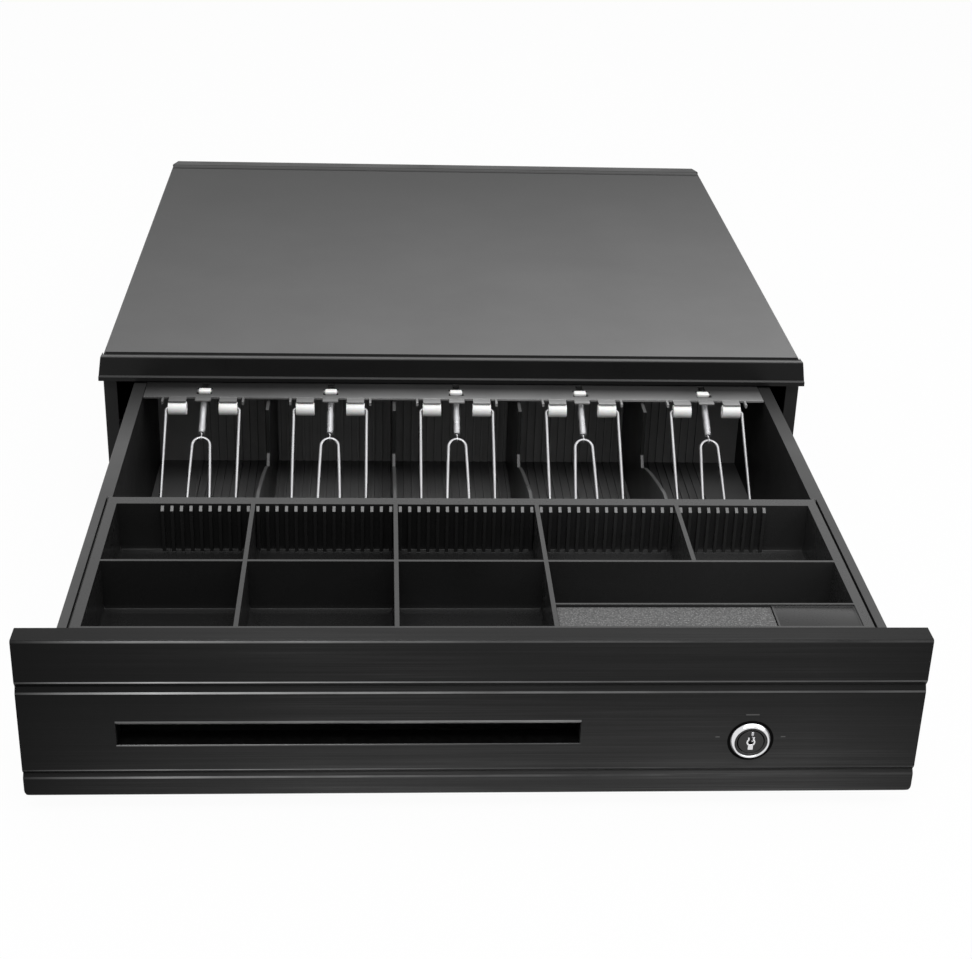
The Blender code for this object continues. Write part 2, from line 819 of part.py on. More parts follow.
def solenoid():
    mesh = box(
        (-SOLENOID_HALF, SOLENOID_Y - SOLENOID_DEPTH / 2, BASE_TOP + GAP),
        (SOLENOID_HALF, SOLENOID_Y + SOLENOID_DEPTH / 2, SOLENOID_TOP),
    )
    body = add("solenoid", mesh, CABINET, COIL_DARK)
    cut(body, rod(
        (0, SOLENOID_Y, (PLUNGER_WELL + SOLENOID_TOP + OVERRUN) / 2),
        PLUNGER_RADIUS + GAP, SOLENOID_TOP + OVERRUN - PLUNGER_WELL, "z", SMALL_ROUND,
    ))
    return body


def solenoid_plunger():
    """Plunger rod whose clevis head holds the lever's tail, drawn pulled down with it."""
    slot_low = LEVER_Z - LEVER_TAIL_THICK / 2 - CLEVIS_PLAY * 2
    slot_high = LEVER_Z + LEVER_TAIL_THICK / 2 + CLEVIS_PLAY
    head_low = slot_low - CLEVIS_WALL
    mesh = rod(
        (0, SOLENOID_Y, (PLUNGER_BOTTOM + head_low) / 2),
        PLUNGER_RADIUS, head_low - PLUNGER_BOTTOM + CLEVIS_WALL, "z", SMALL_ROUND,
    )
    drop = (SOLENOID_Y - LEVER_Y) * LATCH_LIFT
    plunger = add("solenoid_plunger", mesh, CABINET, ZINC, (0, 0, -drop))
    fuse(plunger, box(
        (-CLEVIS_HALF, SOLENOID_Y - CLEVIS_DEPTH / 2, head_low),
        (CLEVIS_HALF, SOLENOID_Y + CLEVIS_DEPTH / 2, slot_high + CLEVIS_WALL),
    ))
    cut(plunger, box(
        (-LEVER_HALF - CLEVIS_PLAY / 2, SOLENOID_Y - CLEVIS_DEPTH, slot_low),
        (LEVER_HALF + CLEVIS_PLAY / 2, SOLENOID_Y + CLEVIS_DEPTH, slot_high),
    ))
    return plunger


def microswitch():
    """Drawer-open switch: its leaf ends just behind the shut drawer."""
    left = SWITCH_X - SWITCH_WIDTH / 2
    right = SWITCH_X + SWITCH_WIDTH / 2
    body = add("microswitch", box(
        (left, SWITCH_Y, BASE_TOP + GAP), (right, SWITCH_Y + SWITCH_DEPTH, SWITCH_TOP)
    ), CABINET, COIL_DARK)
    middle = SWITCH_TOP - SWITCH_LEAF_RISE
    leaf_front = PAN_REAR + GAP * 2
    outline = [
        (SWITCH_Y + SWITCH_LEAF, middle),
        (leaf_front, middle + SWITCH_LEAF_RISE),
        (leaf_front, middle + SWITCH_LEAF_RISE - SWITCH_LEAF * 2),
        (SWITCH_Y + SWITCH_LEAF, middle - SWITCH_LEAF * 2),
    ]
    fuse(body, plate(outline, SWITCH_LEAF_WIDTH, "yz", (SWITCH_X, 0, 0)))
    return body


def ejector():
    """Guide barrel on the rear panel and the capped rod that pushes the drawer off its latch."""
    barrel_rear = SHELL_REAR - STEEL - GAP
    length = barrel_rear - EJECTOR_BARREL_FRONT
    barrel = add("ejector_barrel", rod(
        (EJECTOR_X, EJECTOR_BARREL_FRONT + length / 2, EJECTOR_Z), EJECTOR_BARREL, length, "y"
    ), CABINET, PLASTIC_BLACK)
    cut(barrel, rod(
        (EJECTOR_X, (EJECTOR_WELL + EJECTOR_BARREL_FRONT - OVERRUN) / 2, EJECTOR_Z),
        EJECTOR_ROD + GAP, EJECTOR_WELL - EJECTOR_BARREL_FRONT + OVERRUN, "y",
    ))
    tip = PAN_REAR + GAP
    rod_length = EJECTOR_ROD_END - tip
    pusher = add("ejector_rod", rod(
        (EJECTOR_X, tip + rod_length / 2, EJECTOR_Z), EJECTOR_ROD, rod_length, "y"
    ), CABINET, ZINC)
    fuse(pusher, rod(
        (EJECTOR_X, tip + EJECTOR_CAP_LENGTH / 2, EJECTOR_Z), EJECTOR_CAP, EJECTOR_CAP_LENGTH, "y"
    ))


def cable_grommet():
    """Rubber grommet in the rear panel's cable hole, with an open bore."""
    inner = -STEEL - GAP
    profile = [
        (GROMMET_BORE, GROMMET_LIP + GAP),
        (GROMMET_FLANGE - GROMMET_LIP / 2, GROMMET_LIP + GAP),
        (GROMMET_FLANGE, GAP + GROMMET_LIP / 2),
        (GROMMET_FLANGE, GAP),
        (GROMMET_NECK, GAP),
        (GROMMET_NECK, inner),
        (GROMMET_FLANGE, inner),
        (GROMMET_FLANGE, inner - GROMMET_LIP),
        (GROMMET_BORE, inner - GROMMET_LIP),
        (GROMMET_BORE, GROMMET_LIP + GAP),
    ]
    return turned(
        "cable_grommet", profile, CABINET, RUBBER, (GROMMET_X, SHELL_REAR, GROMMET_Z), "y",
        SMALL_ROUND,
    )


# Drawer pieces


def slot_box(front, rear, margin):
    return box(
        (SLOT_LEFT - margin, front, SLOT_Z - SLOT_HEIGHT / 2 - margin),
        (SLOT_RIGHT + margin, rear, SLOT_Z + SLOT_HEIGHT / 2 + margin),
    )


def drawer_pan():
    half = PAN_HALF_WIDTH
    mesh = box((-half, PAN_FRONT, PAN_FLOOR_Z), (half, PAN_REAR, PAN_TOP))
    pan = add("drawer_pan", mesh, DRAWER, STEEL_BLACK)
    cut(pan, box(
        (-half + STEEL, PAN_FRONT + STEEL, PAN_FLOOR_Z + STEEL),
        (half - STEEL, PAN_REAR - STEEL, PAN_TOP + OVERRUN),
    ))
    cut(pan, slot_box(PAN_FRONT - OVERRUN, PAN_FRONT + STEEL * 2, STEEL))
    cut(pan, rod((LOCK_X, PAN_FRONT, LOCK_Z), LOCK_BARREL_RADIUS + GAP, OVERRUN, "y"))
    cut(pan, cam_opening(PAN_FLOOR_Z - OVERRUN, PAN_FLOOR_Z + STEEL * 2))
    return pan


def cam_centre_y():
    return FASCIA_FACE + LOCK_BARREL_LENGTH + GAP + CAM_THICK / 2


def cam_opening(low, high):
    """The long hole under the lock through which the cam swings down."""
    y = cam_centre_y()
    reach = CAM_WIDTH / 2 + STEEL * 2
    return box((LOCK_X - CAM_LENGTH, y - CAM_THICK, low), (LOCK_X + reach, y + CAM_THICK, high))


def fascia():
    """Front panel with two V grooves, the media slot in its bevelled mouth and the lock's hole."""
    face, back = FASCIA_FACE, FASCIA_BACK
    outline = [(back, FASCIA_BOTTOM), (back, FASCIA_TOP)]
    outline += [(face + FASCIA_CHAMFER, FASCIA_TOP), (face, FASCIA_TOP - FASCIA_CHAMFER)]
    grooves = ((GROOVE_TOP_Z, GROOVE_TOP_HEIGHT), (GROOVE_LOW_Z, GROOVE_LOW_HEIGHT))
    for top, height in grooves:
        outline += [(face, top), (face + GROOVE_DEPTH, top - height / 2), (face, top - height)]
    outline += [(face, FASCIA_BOTTOM + FASCIA_CHAMFER), (face + FASCIA_CHAMFER, FASCIA_BOTTOM)]
    mesh = plate(outline, FASCIA_WIDTH, "yz", (0, 0, 0), "fascia")
    panel = add("fascia", mesh, DRAWER, BRUSHED_BLACK)
    half = FASCIA_WIDTH / 2
    for _, side in both_sides():
        # What is left outside a quarter round at each lower corner
        corner = [
            (side * (half - FASCIA_CORNER), FASCIA_BOTTOM - OVERRUN),
            (side * (half + OVERRUN), FASCIA_BOTTOM - OVERRUN),
            (side * (half + OVERRUN), FASCIA_BOTTOM + FASCIA_CORNER),
        ]
        for k in range(5):
            angle = math.pi / 2 * k / 4
            corner.append((
                side * (half - FASCIA_CORNER + FASCIA_CORNER * math.cos(angle)),
                FASCIA_BOTTOM + FASCIA_CORNER - FASCIA_CORNER * math.sin(angle),
            ))
        middle = (face + back) / 2
        cut(panel, plate(corner, FASCIA_THICK + OVERRUN, "xz", (0, middle, 0)))
    cut(panel, slot_box(face - OVERRUN, back + OVERRUN, 0))
    cut(panel, slot_mouth(face))
    cut(panel, rod(
        (LOCK_X, (face + back) / 2, LOCK_Z), LOCK_BARREL_RADIUS + GAP, FASCIA_THICK + OVERRUN, "y"
    ))
    return panel


def slot_mouth(face):
    """A frustum that widens the slot towards the face."""
    bm = bmesh.new()
    bm.from_mesh(slot_box(face - SLOT_BEVEL, face + SLOT_BEVEL, 0))
    middle = Vector(((SLOT_LEFT + SLOT_RIGHT) / 2, face, SLOT_Z))
    wide = (SLOT_RIGHT - SLOT_LEFT) / 2 + SLOT_BEVEL * 2
    tall = SLOT_HEIGHT / 2 + SLOT_BEVEL * 2
    for vertex in bm.verts:
        if vertex.co.y < face:
            vertex.co.x = middle.x + math.copysign(wide, vertex.co.x - middle.x)
            vertex.co.z = middle.z + math.copysign(tall, vertex.co.z - middle.z)
    return finish_mesh(bm, "slot_mouth")


def rib_places():
    first = -(RIB_COUNT - 1) / 2
    return [(first + i) * RIB_PITCH for i in range(RIB_COUNT)]


def bill_ribs():
    """U-shaped ribs that run down the partition, along the floor and up the rear wall."""
    head = RIM_UNDER - RIB_HEAD
    sunk = RIB_FLOOR / 2
    outline = [
        (PARTITION_REAR - sunk, head),
        (PARTITION_REAR - sunk, FLOOR_Z - sunk),
        (BILL_REAR + sunk, FLOOR_Z - sunk),
        (BILL_REAR + sunk, head),
        (BILL_REAR - RIB_DEPTH, head),
        (BILL_REAR - RIB_DEPTH, FLOOR_Z + RIB_FLOOR),
        (PARTITION_REAR + RIB_DEPTH, FLOOR_Z + RIB_FLOOR),
        (PARTITION_REAR + RIB_DEPTH, head),
    ]
    return joined([plate(outline, RIB_WIDTH, "yz", (x, 0, 0)) for x in rib_places()])


def cash_insert():
    """Moulding with the rim, the open coin bay in front and the ribbed bill bay behind."""
    half = PAN_HALF_WIDTH - STEEL - GAP
    front = TRAY_FRONT
    mesh = box((-half, front, INSERT_BOTTOM), (half, INSERT_REAR, RIM_UNDER + RIM_THICK / 2))
    insert = add("cash_insert", mesh, DRAWER, PLASTIC_BLACK)
    fuse(insert, box(
        (-RIM_HALF_WIDTH, PAN_FRONT, RIM_UNDER), (RIM_HALF_WIDTH, INSERT_REAR, RIM_TOP)
    ))
    high = RIM_TOP + OVERRUN
    partition_front = PARTITION_REAR - PARTITION_THICK
    cut(insert, box((-INSERT_INNER, PARTITION_REAR, FLOOR_Z), (INSERT_INNER, BILL_REAR, high)))
    cut(insert, rounded_box(
        (-INSERT_INNER, front + TRAY_WALL, FLOOR_Z), (INSERT_INNER, partition_front, high),
        TRAY_CORNER, 2, "b",
    ))
    # The front wall is only a sill, so that the slot and the lock open into the coin bay
    cut(insert, box(
        (-INSERT_INNER, PAN_FRONT - OVERRUN, FLOOR_Z + FRONT_SILL), (INSERT_INNER, BAR_FRONT / 2, high)
    ))
    # The coin tray's rim sits in a recess one gap deeper than the rim is thick
    cut(insert, box(
        (-TRAY_RECESS, PAN_FRONT - OVERRUN, PAN_TOP), (TRAY_RECESS, BAR_REAR + GAP, high)
    ))
    # The clip rail's seat at the back
    cut(insert, box(
        (-RAIL_HALF_WIDTH - GAP, BILL_REAR - OVERRUN, RAIL_UNDER - GAP),
        (RAIL_HALF_WIDTH + GAP, INSERT_REAR + OVERRUN, high),
    ))
    cut(insert, cam_opening(INSERT_BOTTOM - OVERRUN, FLOOR_Z + OVERRUN / 4))
    fuse(insert, bill_ribs())
    return insert


def bill_dividers():
    """Upright sheets between the bill cells, scooped low so that notes can be picked up."""
    front = PARTITION_REAR + GAP
    rear = BILL_REAR - GAP
    low = FLOOR_Z + GAP
    top = RIM_TOP - BILL_TOP_DROP
    outline = [
        (front, low),
        (rear, low),
        (rear, top),
        (BILL_SCOOP_Y, top),
    ]
    # The scoop drops down the tall part's front edge and rises in an arc to the front post
    radius = BILL_SCOOP_HIGH_Z - BILL_SCOOP_LOW_Z
    outline.append((BILL_SCOOP_Y, BILL_SCOOP_LOW_Z + radius / 4))
    for k in range(BILL_ARC_STEPS + 1):
        share = k / BILL_ARC_STEPS
        y = BILL_SCOOP_Y - radius / 4 + (BILL_SCOOP_END_Y - BILL_SCOOP_Y + radius / 4) * share
        z = BILL_SCOOP_LOW_Z + radius * share ** 0.75
        outline.append((y, z))
    outline.append((front, BILL_SCOOP_HIGH_Z))
    for index, place in enumerate((-1.5, -0.5, 0.5, 1.5), 1):
        x = DIVIDER_PITCH * place
        mesh = plate(outline, DIVIDER_THICK, "yz", (x, 0, 0), "bill_divider")
        add(f"bill_divider_{index}", mesh, DRAWER, PLASTIC_BLACK)


def lock():
    """Turned lock body with its bezel, round nut, turning plug with a keyway, and the cam."""
    face = LOCK_BEZEL_THICK + GAP
    rear = -LOCK_BARREL_LENGTH
    shoulder = LOCK_BEZEL_RADIUS - LOCK_BEZEL_THICK / 2
    bore = PLUG_RADIUS + GAP
    profile = [
        (bore, face - LOCK_BEZEL_THICK / 4),
        (bore + LOCK_BEZEL_THICK / 4, face),
        (shoulder, face),
        (LOCK_BEZEL_RADIUS, face - LOCK_BEZEL_THICK / 2),
        (LOCK_BEZEL_RADIUS, GAP),
        (LOCK_BARREL_RADIUS, GAP),
        (LOCK_BARREL_RADIUS, rear),
        (bore, rear),
        (bore, face - LOCK_BEZEL_THICK / 4),
    ]
    body = turned("lock_body", profile, DRAWER, CHROME, (LOCK_X, FASCIA_FACE, LOCK_Z))
    body.rotation_euler = (math.pi / 2, 0, 0)
    nut_front = FASCIA_BACK - FASCIA_FACE + STEEL + GAP * 2
    nut_y = FASCIA_FACE + nut_front + NUT_THICK / 2
    nut = add("lock_nut", rod((LOCK_X, nut_y, LOCK_Z), NUT_RADIUS, NUT_THICK, "y", 6), DRAWER, ZINC)
    cut(nut, rod((LOCK_X, nut_y, LOCK_Z), LOCK_BARREL_RADIUS + GAP, OVERRUN, "y"))
    turn = empty("lock_turn", (LOCK_X, FASCIA_FACE, LOCK_Z), DRAWER)
    front = -face + PLUG_PROUD
    back = LOCK_BARREL_LENGTH + GAP
    plug_rear = back - GAP
    plug = add(
        "lock_plug",
        rod((0, (front + plug_rear) / 2, 0), PLUG_RADIUS, plug_rear - front, "y"),
        turn, CHROME,
    )
    fuse(plug, rod((0, back, 0), CAM_STEM, CAM_THICK * 4, "y", SMALL_ROUND))
    cut(plug, box(
        (-KEYWAY_WIDTH / 2, front - OVERRUN, -KEYWAY_HEIGHT / 2),
        (KEYWAY_WIDTH / 2, front + KEYWAY_DEPTH, KEYWAY_HEIGHT / 2),
    ))
    half = CAM_WIDTH / 2
    corners = [
        (half, -half, half * 0.9),
        (half, half, half * 0.9),
        (-CAM_LENGTH, half / 2, half / 3),
        (-CAM_LENGTH, -half / 2, half / 3),
    ]
    cam = add(
        "lock_cam", plate(fillet(corners, 4), CAM_THICK, "xz", (0, back + CAM_THICK / 2, 0)), turn, ZINC
    )
    cut(cam, rod((0, back, 0), CAM_STEM + GAP, OVERRUN, "y", SMALL_ROUND))


def striker():
    """Bent plate on the pan's back whose upturned lip the latch nose holds."""
    rear = PAN_REAR + GAP
    end = rear + STRIKER_REACH
    top = STRIKER_Z + STRIKER_SHEET
    outline = [
        (rear, STRIKER_Z - STRIKER_FOOT),
        (rear + STRIKER_SHEET, STRIKER_Z - STRIKER_FOOT),
        (rear + STRIKER_SHEET, STRIKER_Z),
        (end, STRIKER_Z),
        (end, top + STRIKER_LIP),
        (end - STRIKER_SHEET, top + STRIKER_LIP),
        (end - STRIKER_SHEET, top),
        (rear, top),
    ]
    return add("striker", plate(outline, STRIKER_HALF * 2, "yz", (0, 0, 0)), DRAWER, ZINC)


# Coin tray


def cell(left, right, front, rear):
    floor = TRAY_BOTTOM_Z + TRAY_FLOOR
    return rounded_box(
        (left, front, floor), (right, rear, RIM_TOP + OVERRUN), TRAY_CORNER, 2, "b"
    )


def coin_tray():
    """Lift-out moulding: five cells behind, three and a wide one in front, and the shelf."""
    outer = TRAY_INNER + TRAY_WALL
    rear_wall_back = BAR_FRONT + TRAY_WALL
    mesh = box(
        (-outer, TRAY_FRONT, TRAY_BOTTOM_Z), (outer, rear_wall_back, RIM_UNDER + RIM_THICK / 2)
    )
    tray = add("coin_tray", mesh, TRAY, PLASTIC_BLACK)
    fuse(tray, box(
        (-TRAY_RIM_HALF, PAN_FRONT + GAP / 2, RIM_UNDER), (TRAY_RIM_HALF, BAR_REAR, RIM_TOP)
    ))
    half_wall = DIVIDER_THICK / 2
    walls = [DIVIDER_PITCH * place for place in (-1.5, -0.5, 0.5, 1.5)]
    lefts = [-TRAY_INNER] + [x + half_wall for x in walls]
    rights = [x - half_wall for x in walls] + [TRAY_INNER]
    middle_rear = TRAY_MIDDLE_Y + TRAY_MIDDLE_WALL / 2
    middle_front = TRAY_MIDDLE_Y - TRAY_MIDDLE_WALL / 2
    for left, right in zip(lefts, rights):
        cut(tray, cell(left, right, middle_rear, BAR_FRONT))
    for left, right in zip(lefts[:3], rights[:3]):
        cut(tray, cell(left, right, TRAY_CELL_FRONT, middle_front))
    cut(tray, cell(lefts[3], TRAY_INNER, SHELF_REAR, middle_front))
    # The shelf over the lock: a shallow recess above and an open bay below
    shelf_z = RIM_TOP - SHELF_DROP
    shelf_back = SHELF_REAR - SHELF_LIP
    cut(tray, box(
        (lefts[3], TRAY_CELL_FRONT, shelf_z), (PAD_RIGHT + GAP, shelf_back, RIM_TOP + OVERRUN)
    ))
    cut(tray, box(
        (PAD_RIGHT, TRAY_CELL_FRONT, shelf_z + CARD_STEP), (TRAY_INNER, shelf_back, RIM_TOP + OVERRUN)
    ))
    cut(tray, box(
        (lefts[3], TRAY_CELL_FRONT, TRAY_BOTTOM_Z - OVERRUN),
        (TRAY_INNER, shelf_back, shelf_z - SHELF_THICK),
    ))
    head = RIM_TOP - COIN_RIB_HEAD
    floor = TRAY_BOTTOM_Z + TRAY_FLOOR / 2
    ribs = [
        box(
            (x - RIB_WIDTH / 2, BAR_FRONT - COIN_RIB_DEPTH, floor),
            (x + RIB_WIDTH / 2, BAR_FRONT + TRAY_WALL / 2, head),
        )
        for x in rib_places()
    ]
    fuse(tray, joined(ribs))
    return tray


def shelf_pad():
    left = DIVIDER_PITCH / 2 + DIVIDER_THICK / 2 + GAP
    low = RIM_TOP - SHELF_DROP + GAP
    return add("shelf_pad", box(
        (left, TRAY_CELL_FRONT + GAP, low),
        (PAD_RIGHT, SHELF_REAR - SHELF_LIP - GAP, low + PAD_THICK),
    ), TRAY, FOAM)


# Clip rail and clips


def clip_places():
    first = -(CLIP_COUNT - 1) / 2
    return [(first + i) * CLIP_PITCH for i in range(CLIP_COUNT)]


def clip_rail():
    """Sheet rail over the back of the bill cells, with tabs, ears and spring tongues for the clips."""
    mesh = box(
        (-RAIL_HALF_WIDTH, RAIL_FRONT, RAIL_UNDER), (RAIL_HALF_WIDTH, INSERT_REAR, RAIL_TOP)
    )
    rail = add("clip_rail", mesh, DRAWER, RAIL_STEEL)
    added, covers, holes, notches, beads = [], [], [], [], []
    tab_x = BARREL_INNER_X + BARREL_LENGTH / 2
    ear_x = BAIL_HALF_WIDTH + WIRE_RADIUS + GAP * 2
    for x in clip_places():
        for _, side in both_sides():
            middle = x + side * tab_x
            added.append(box(
                (middle - TAB_WIDTH / 2, RAIL_FRONT, RAIL_TOP - TAB_HEIGHT),
                (middle + TAB_WIDTH / 2, RAIL_FRONT + RAIL_SHEET, RAIL_TOP - RAIL_SHEET / 2),
            ))
            half = BARREL_LENGTH / 2 - GAP
            covers.append(box(
                (middle - half, PIVOT_Y - TAB_REACH, RAIL_UNDER),
                (middle + half, RAIL_FRONT + RAIL_SHEET * 2, RAIL_TOP - RAIL_SHEET / 8),
            ))
            near = x + side * ear_x
            far = x + side * (ear_x + RAIL_SHEET)
            added.append(box(
                (min(near, far), PIVOT_Y - EAR_REACH / 2, RAIL_TOP - EAR_DROP),
                (max(near, far), RAIL_FRONT + RAIL_SHEET, RAIL_TOP - RAIL_SHEET / 4),
            ))
        added.append(box(
            (x - TONGUE_HALF, RAIL_FRONT - TONGUE_REACH, RAIL_UNDER),
            (x + TONGUE_HALF, RAIL_FRONT + RAIL_SHEET, RAIL_TOP - RAIL_SHEET / 4),
        ))
        holes.append(box(
            (x - TONGUE_HALF, TONGUE_SLOT_Y, RAIL_UNDER - OVERRUN),
            (x + TONGUE_HALF, TONGUE_SLOT_Y + TONGUE_SLOT, RAIL_TOP + OVERRUN),
        ))
        slot_end = TONGUE_SLOT_Y + TONGUE_SLOT
        notches.append(box(
            (x - HOOK_HOLE_HALF, slot_end - GAP, RAIL_UNDER - OVERRUN),
            (x + HOOK_HOLE_HALF, slot_end + HOOK_HOLE, RAIL_TOP + OVERRUN),
        ))
        beads.append(rod(
            (x, TONGUE_SLOT_Y + BEAD_AT, RAIL_TOP - BEAD_RADIUS - GAP / 2),
            BEAD_RADIUS, BEAD_LENGTH, "x", 12,
        ))
    fuse(rail, joined(added))
    fuse(rail, joined(covers))
    cut(rail, joined(holes))
    cut(rail, joined(notches))
    fuse(rail, joined(beads))
    return rail


def clip_barrels():
    """Nylon bushes that the bail's bent ends turn in."""
    for index, x in enumerate(clip_places(), 1):
        for name, side in both_sides():
            middle = x + side * (BARREL_INNER_X + BARREL_LENGTH / 2)
            bush = add(
                f"clip_barrel_{index}_{name}",
                rod((0, 0, 0), BARREL_RADIUS, BARREL_LENGTH, "x", SMALL_ROUND),
                DRAWER, NYLON, (middle, PIVOT_Y, PIVOT_Z),
            )
            cut(bush, rod((0, 0, 0), BORE_RADIUS, BARREL_LENGTH + OVERRUN, "x", BORE_SIDES))


def arc(centre, radius, start, end, steps):
    """Points on a circle in the bail's own plane, from one angle to another."""
    return [
        (
            centre[0] + radius * math.cos(start + (end - start) * k / steps),
            centre[1] + radius * math.sin(start + (end - start) * k / steps),
        )
        for k in range(steps + 1)
    ]


def bail_path():
    """The M-shaped wire in its own plane: x across, s from the pivot to the tip."""
    half = BAIL_HALF_WIDTH
    corner = BAIL_CORNER
    toe = (half - BAIL_INNER_END) / 2
    toe_x = BAIL_INNER_END + toe
    toe_s = BAIL_LENGTH - WIRE_RADIUS - toe
    right = math.pi / 2
    side = [(-BARREL_INNER_X - BARREL_LENGTH / 4, 0)]
    side += arc((-half + corner, corner), corner, -right, -math.pi, 3)
    side += arc((-toe_x, toe_s), toe, math.pi, 0, 8)
    side += arc(
        (0, BAIL_LOOP_AT + BAIL_LOOP_RADIUS), BAIL_LOOP_RADIUS, -math.pi, -right, 5
    )
    mirrored = [(-x, s) for x, s in reversed(side[:-1])]
    return side + mirrored


def bails():
    """Five bails, each hung on its own pivot empty and laid down into its cell."""
    flat = bail_path()
    down = (-math.cos(BAIL_DROP), -math.sin(BAIL_DROP))
    points = [(x, s * down[0], s * down[1]) for x, s in flat]
    for index, x in enumerate(clip_places(), 1):
        pivot = empty(f"bail_pivot_{index}", (x, PIVOT_Y, PIVOT_Z), DRAWER)
        wire(f"bail_{index}", points, WIRE_RADIUS, pivot, CHROME)


def spring_path():
    """One spring: a straight lead, the curls, and a hook round the bail's loop."""
    top = Vector((0, SPRING_TOP_Y, SPRING_TOP_Z))
    loop = Vector((
        0,
        PIVOT_Y - BAIL_LOOP_AT * math.cos(BAIL_DROP),
        PIVOT_Z - BAIL_LOOP_AT * math.sin(BAIL_DROP),
    ))
    along = (loop - top).normalized()
    across = Vector((1, 0, 0))
    normal = along.cross(across)
    coil_start = top + along * SPRING_LEAD
    coil_end = loop - along * (SPRING_HOOK + SPRING_LEAD)
    length = (coil_end - coil_start).length
    count = SPRING_CURLS * SPRING_STEPS
    points = [top, top + along * SPRING_LEAD / 2]
    for k in range(count + 1):
        angle = 2 * math.pi * k / SPRING_STEPS
        centre = coil_start + along * length * k / count
        points.append(centre + SPRING_RADIUS * (
            normal * math.cos(angle) + across * math.sin(angle)
        ))
    points.append(coil_end + along * SPRING_LEAD / 2)
    # The hook goes round the loop's wire and stops a little before it closes
    for k in range(SPRING_HOOK_STEPS + 1):
        angle = math.pi + 1.5 * math.pi * k / SPRING_HOOK_STEPS
        points.append(loop + SPRING_HOOK * (
            along * math.cos(angle) + normal * math.sin(angle)
        ))
    return points


def least_self_gap(points, radius):
    """The smallest space between stretches of the wire that aren't neighbours along it."""
    least = math.inf
    apart = SPRING_STEPS // 2 + 1
    for i, a in enumerate(points):
        for b in points[i + apart:]:
            least = min(least, (a - b).length)
    return least - 2 * radius


def springs():
    points = spring_path()
    print("least gap of a clip spring to itself, mm:",
          round(least_self_gap(points, SPRING_WIRE) * 1000, 2))
    for index, x in enumerate(clip_places(), 1):
        wire(f"clip_spring_{index}", points, SPRING_WIRE, DRAWER, CHROME, (x, 0, 0))


def smooth_round_pieces():
    for obj in PARTS.objects:
        if obj.type == "MESH":
            obj.data.shade_smooth()
            obj.data.set_sharp_from_angle(angle=math.radians(35))


clear_scene()
PARTS, CUTTERS = make_collections()

STEEL_BLACK = material("black_powder_steel", (0.045, 0.046, 0.050), 0.42, 0.3)
PLASTIC_BLACK = material("black_moulding", (0.018, 0.018, 0.020), 0.50)
BRUSHED_BLACK = material("brushed_black_fascia", (0.016, 0.016, 0.018), 0.38, 0.4)
ZINC = material("zinc_steel", (0.55, 0.56, 0.58), 0.35, 1.0)
RAIL_STEEL = material("rail_steel", (0.32, 0.33, 0.35), 0.40, 1.0)
CHROME = material("chrome", (0.80, 0.81, 0.83), 0.12, 1.0)
NYLON = material("white_nylon", (0.80, 0.80, 0.78), 0.45)
FOAM = material("grey_foam", (0.16, 0.16, 0.16), 0.90)
RUBBER = material("black_rubber", (0.02, 0.02, 0.02), 0.80)
COIL_DARK = material("dark_resin", (0.03, 0.03, 0.035), 0.55)

CABINET = empty("cabinet", (0, -CENTRE_Y, 0))
DRAWER = empty("drawer", (0, -TRAVEL, 0), CABINET)
TRAY = empty("coin_tray_lift", (0, 0, 0), DRAWER)

cabinet_shell()
base_plate()
rear_panel()
front_trim()
rear_trim()
feet()
slides()
latch_bracket()
latch_lever()
solenoid()
solenoid_plunger()
microswitch()
ejector()
cable_grommet()

drawer_pan()
fascia()
cash_insert()
bill_dividers()
lock()
striker()
coin_tray()
shelf_pad()
clip_rail()
clip_barrels()
bails()
springs()
smooth_round_pieces()
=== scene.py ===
"""The counter cash drawer dressed for its picture: finishes, clip wires, springs, fittings, studio."""
import math

import bmesh
import bpy
from mathutils import Matrix, Vector


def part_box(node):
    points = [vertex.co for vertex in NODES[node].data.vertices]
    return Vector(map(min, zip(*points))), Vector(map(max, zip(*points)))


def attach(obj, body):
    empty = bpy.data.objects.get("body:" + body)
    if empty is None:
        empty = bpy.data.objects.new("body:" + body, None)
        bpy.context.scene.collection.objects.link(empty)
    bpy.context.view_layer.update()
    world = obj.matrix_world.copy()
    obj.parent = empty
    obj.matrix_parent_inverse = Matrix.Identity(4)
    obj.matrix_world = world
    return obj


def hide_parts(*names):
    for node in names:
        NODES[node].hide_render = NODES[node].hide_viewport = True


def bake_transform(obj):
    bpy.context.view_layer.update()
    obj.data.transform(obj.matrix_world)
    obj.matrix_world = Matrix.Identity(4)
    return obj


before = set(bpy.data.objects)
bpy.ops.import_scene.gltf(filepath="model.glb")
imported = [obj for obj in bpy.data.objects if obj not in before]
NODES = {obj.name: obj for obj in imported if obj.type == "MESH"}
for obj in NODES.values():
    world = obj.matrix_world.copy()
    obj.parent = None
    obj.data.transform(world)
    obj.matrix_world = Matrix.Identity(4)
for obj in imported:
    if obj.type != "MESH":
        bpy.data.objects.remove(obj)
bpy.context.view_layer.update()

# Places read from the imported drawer
FASCIA_LOW, FASCIA_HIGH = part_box("fascia")
CABINET_LOW, CABINET_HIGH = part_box("cabinet_shell")
RAIL_LOW, RAIL_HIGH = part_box("clip_rail")
TRAY_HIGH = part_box("coin_tray")[1]
PAD_LOW, PAD_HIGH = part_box("shelf_pad")
INSERT_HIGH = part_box("cash_insert")[1]
PANEL_LOW, PANEL_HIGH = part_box("rear_panel")
BASE_LOW, BASE_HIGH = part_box("base_plate")
LOCK_LOW, LOCK_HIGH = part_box("lock_body")

# Coordinates nearer than SAME count as the same, and corners nearer than MERGE are one corner
SAME = 0.0001
MERGE = 0.000002
# A cut passes through a corner nearer than this, and faces that turn by less are one flat face
CUT = 0.000001
FLAT_ANGLE = math.radians(0.6)
QUARTER = math.pi / 2

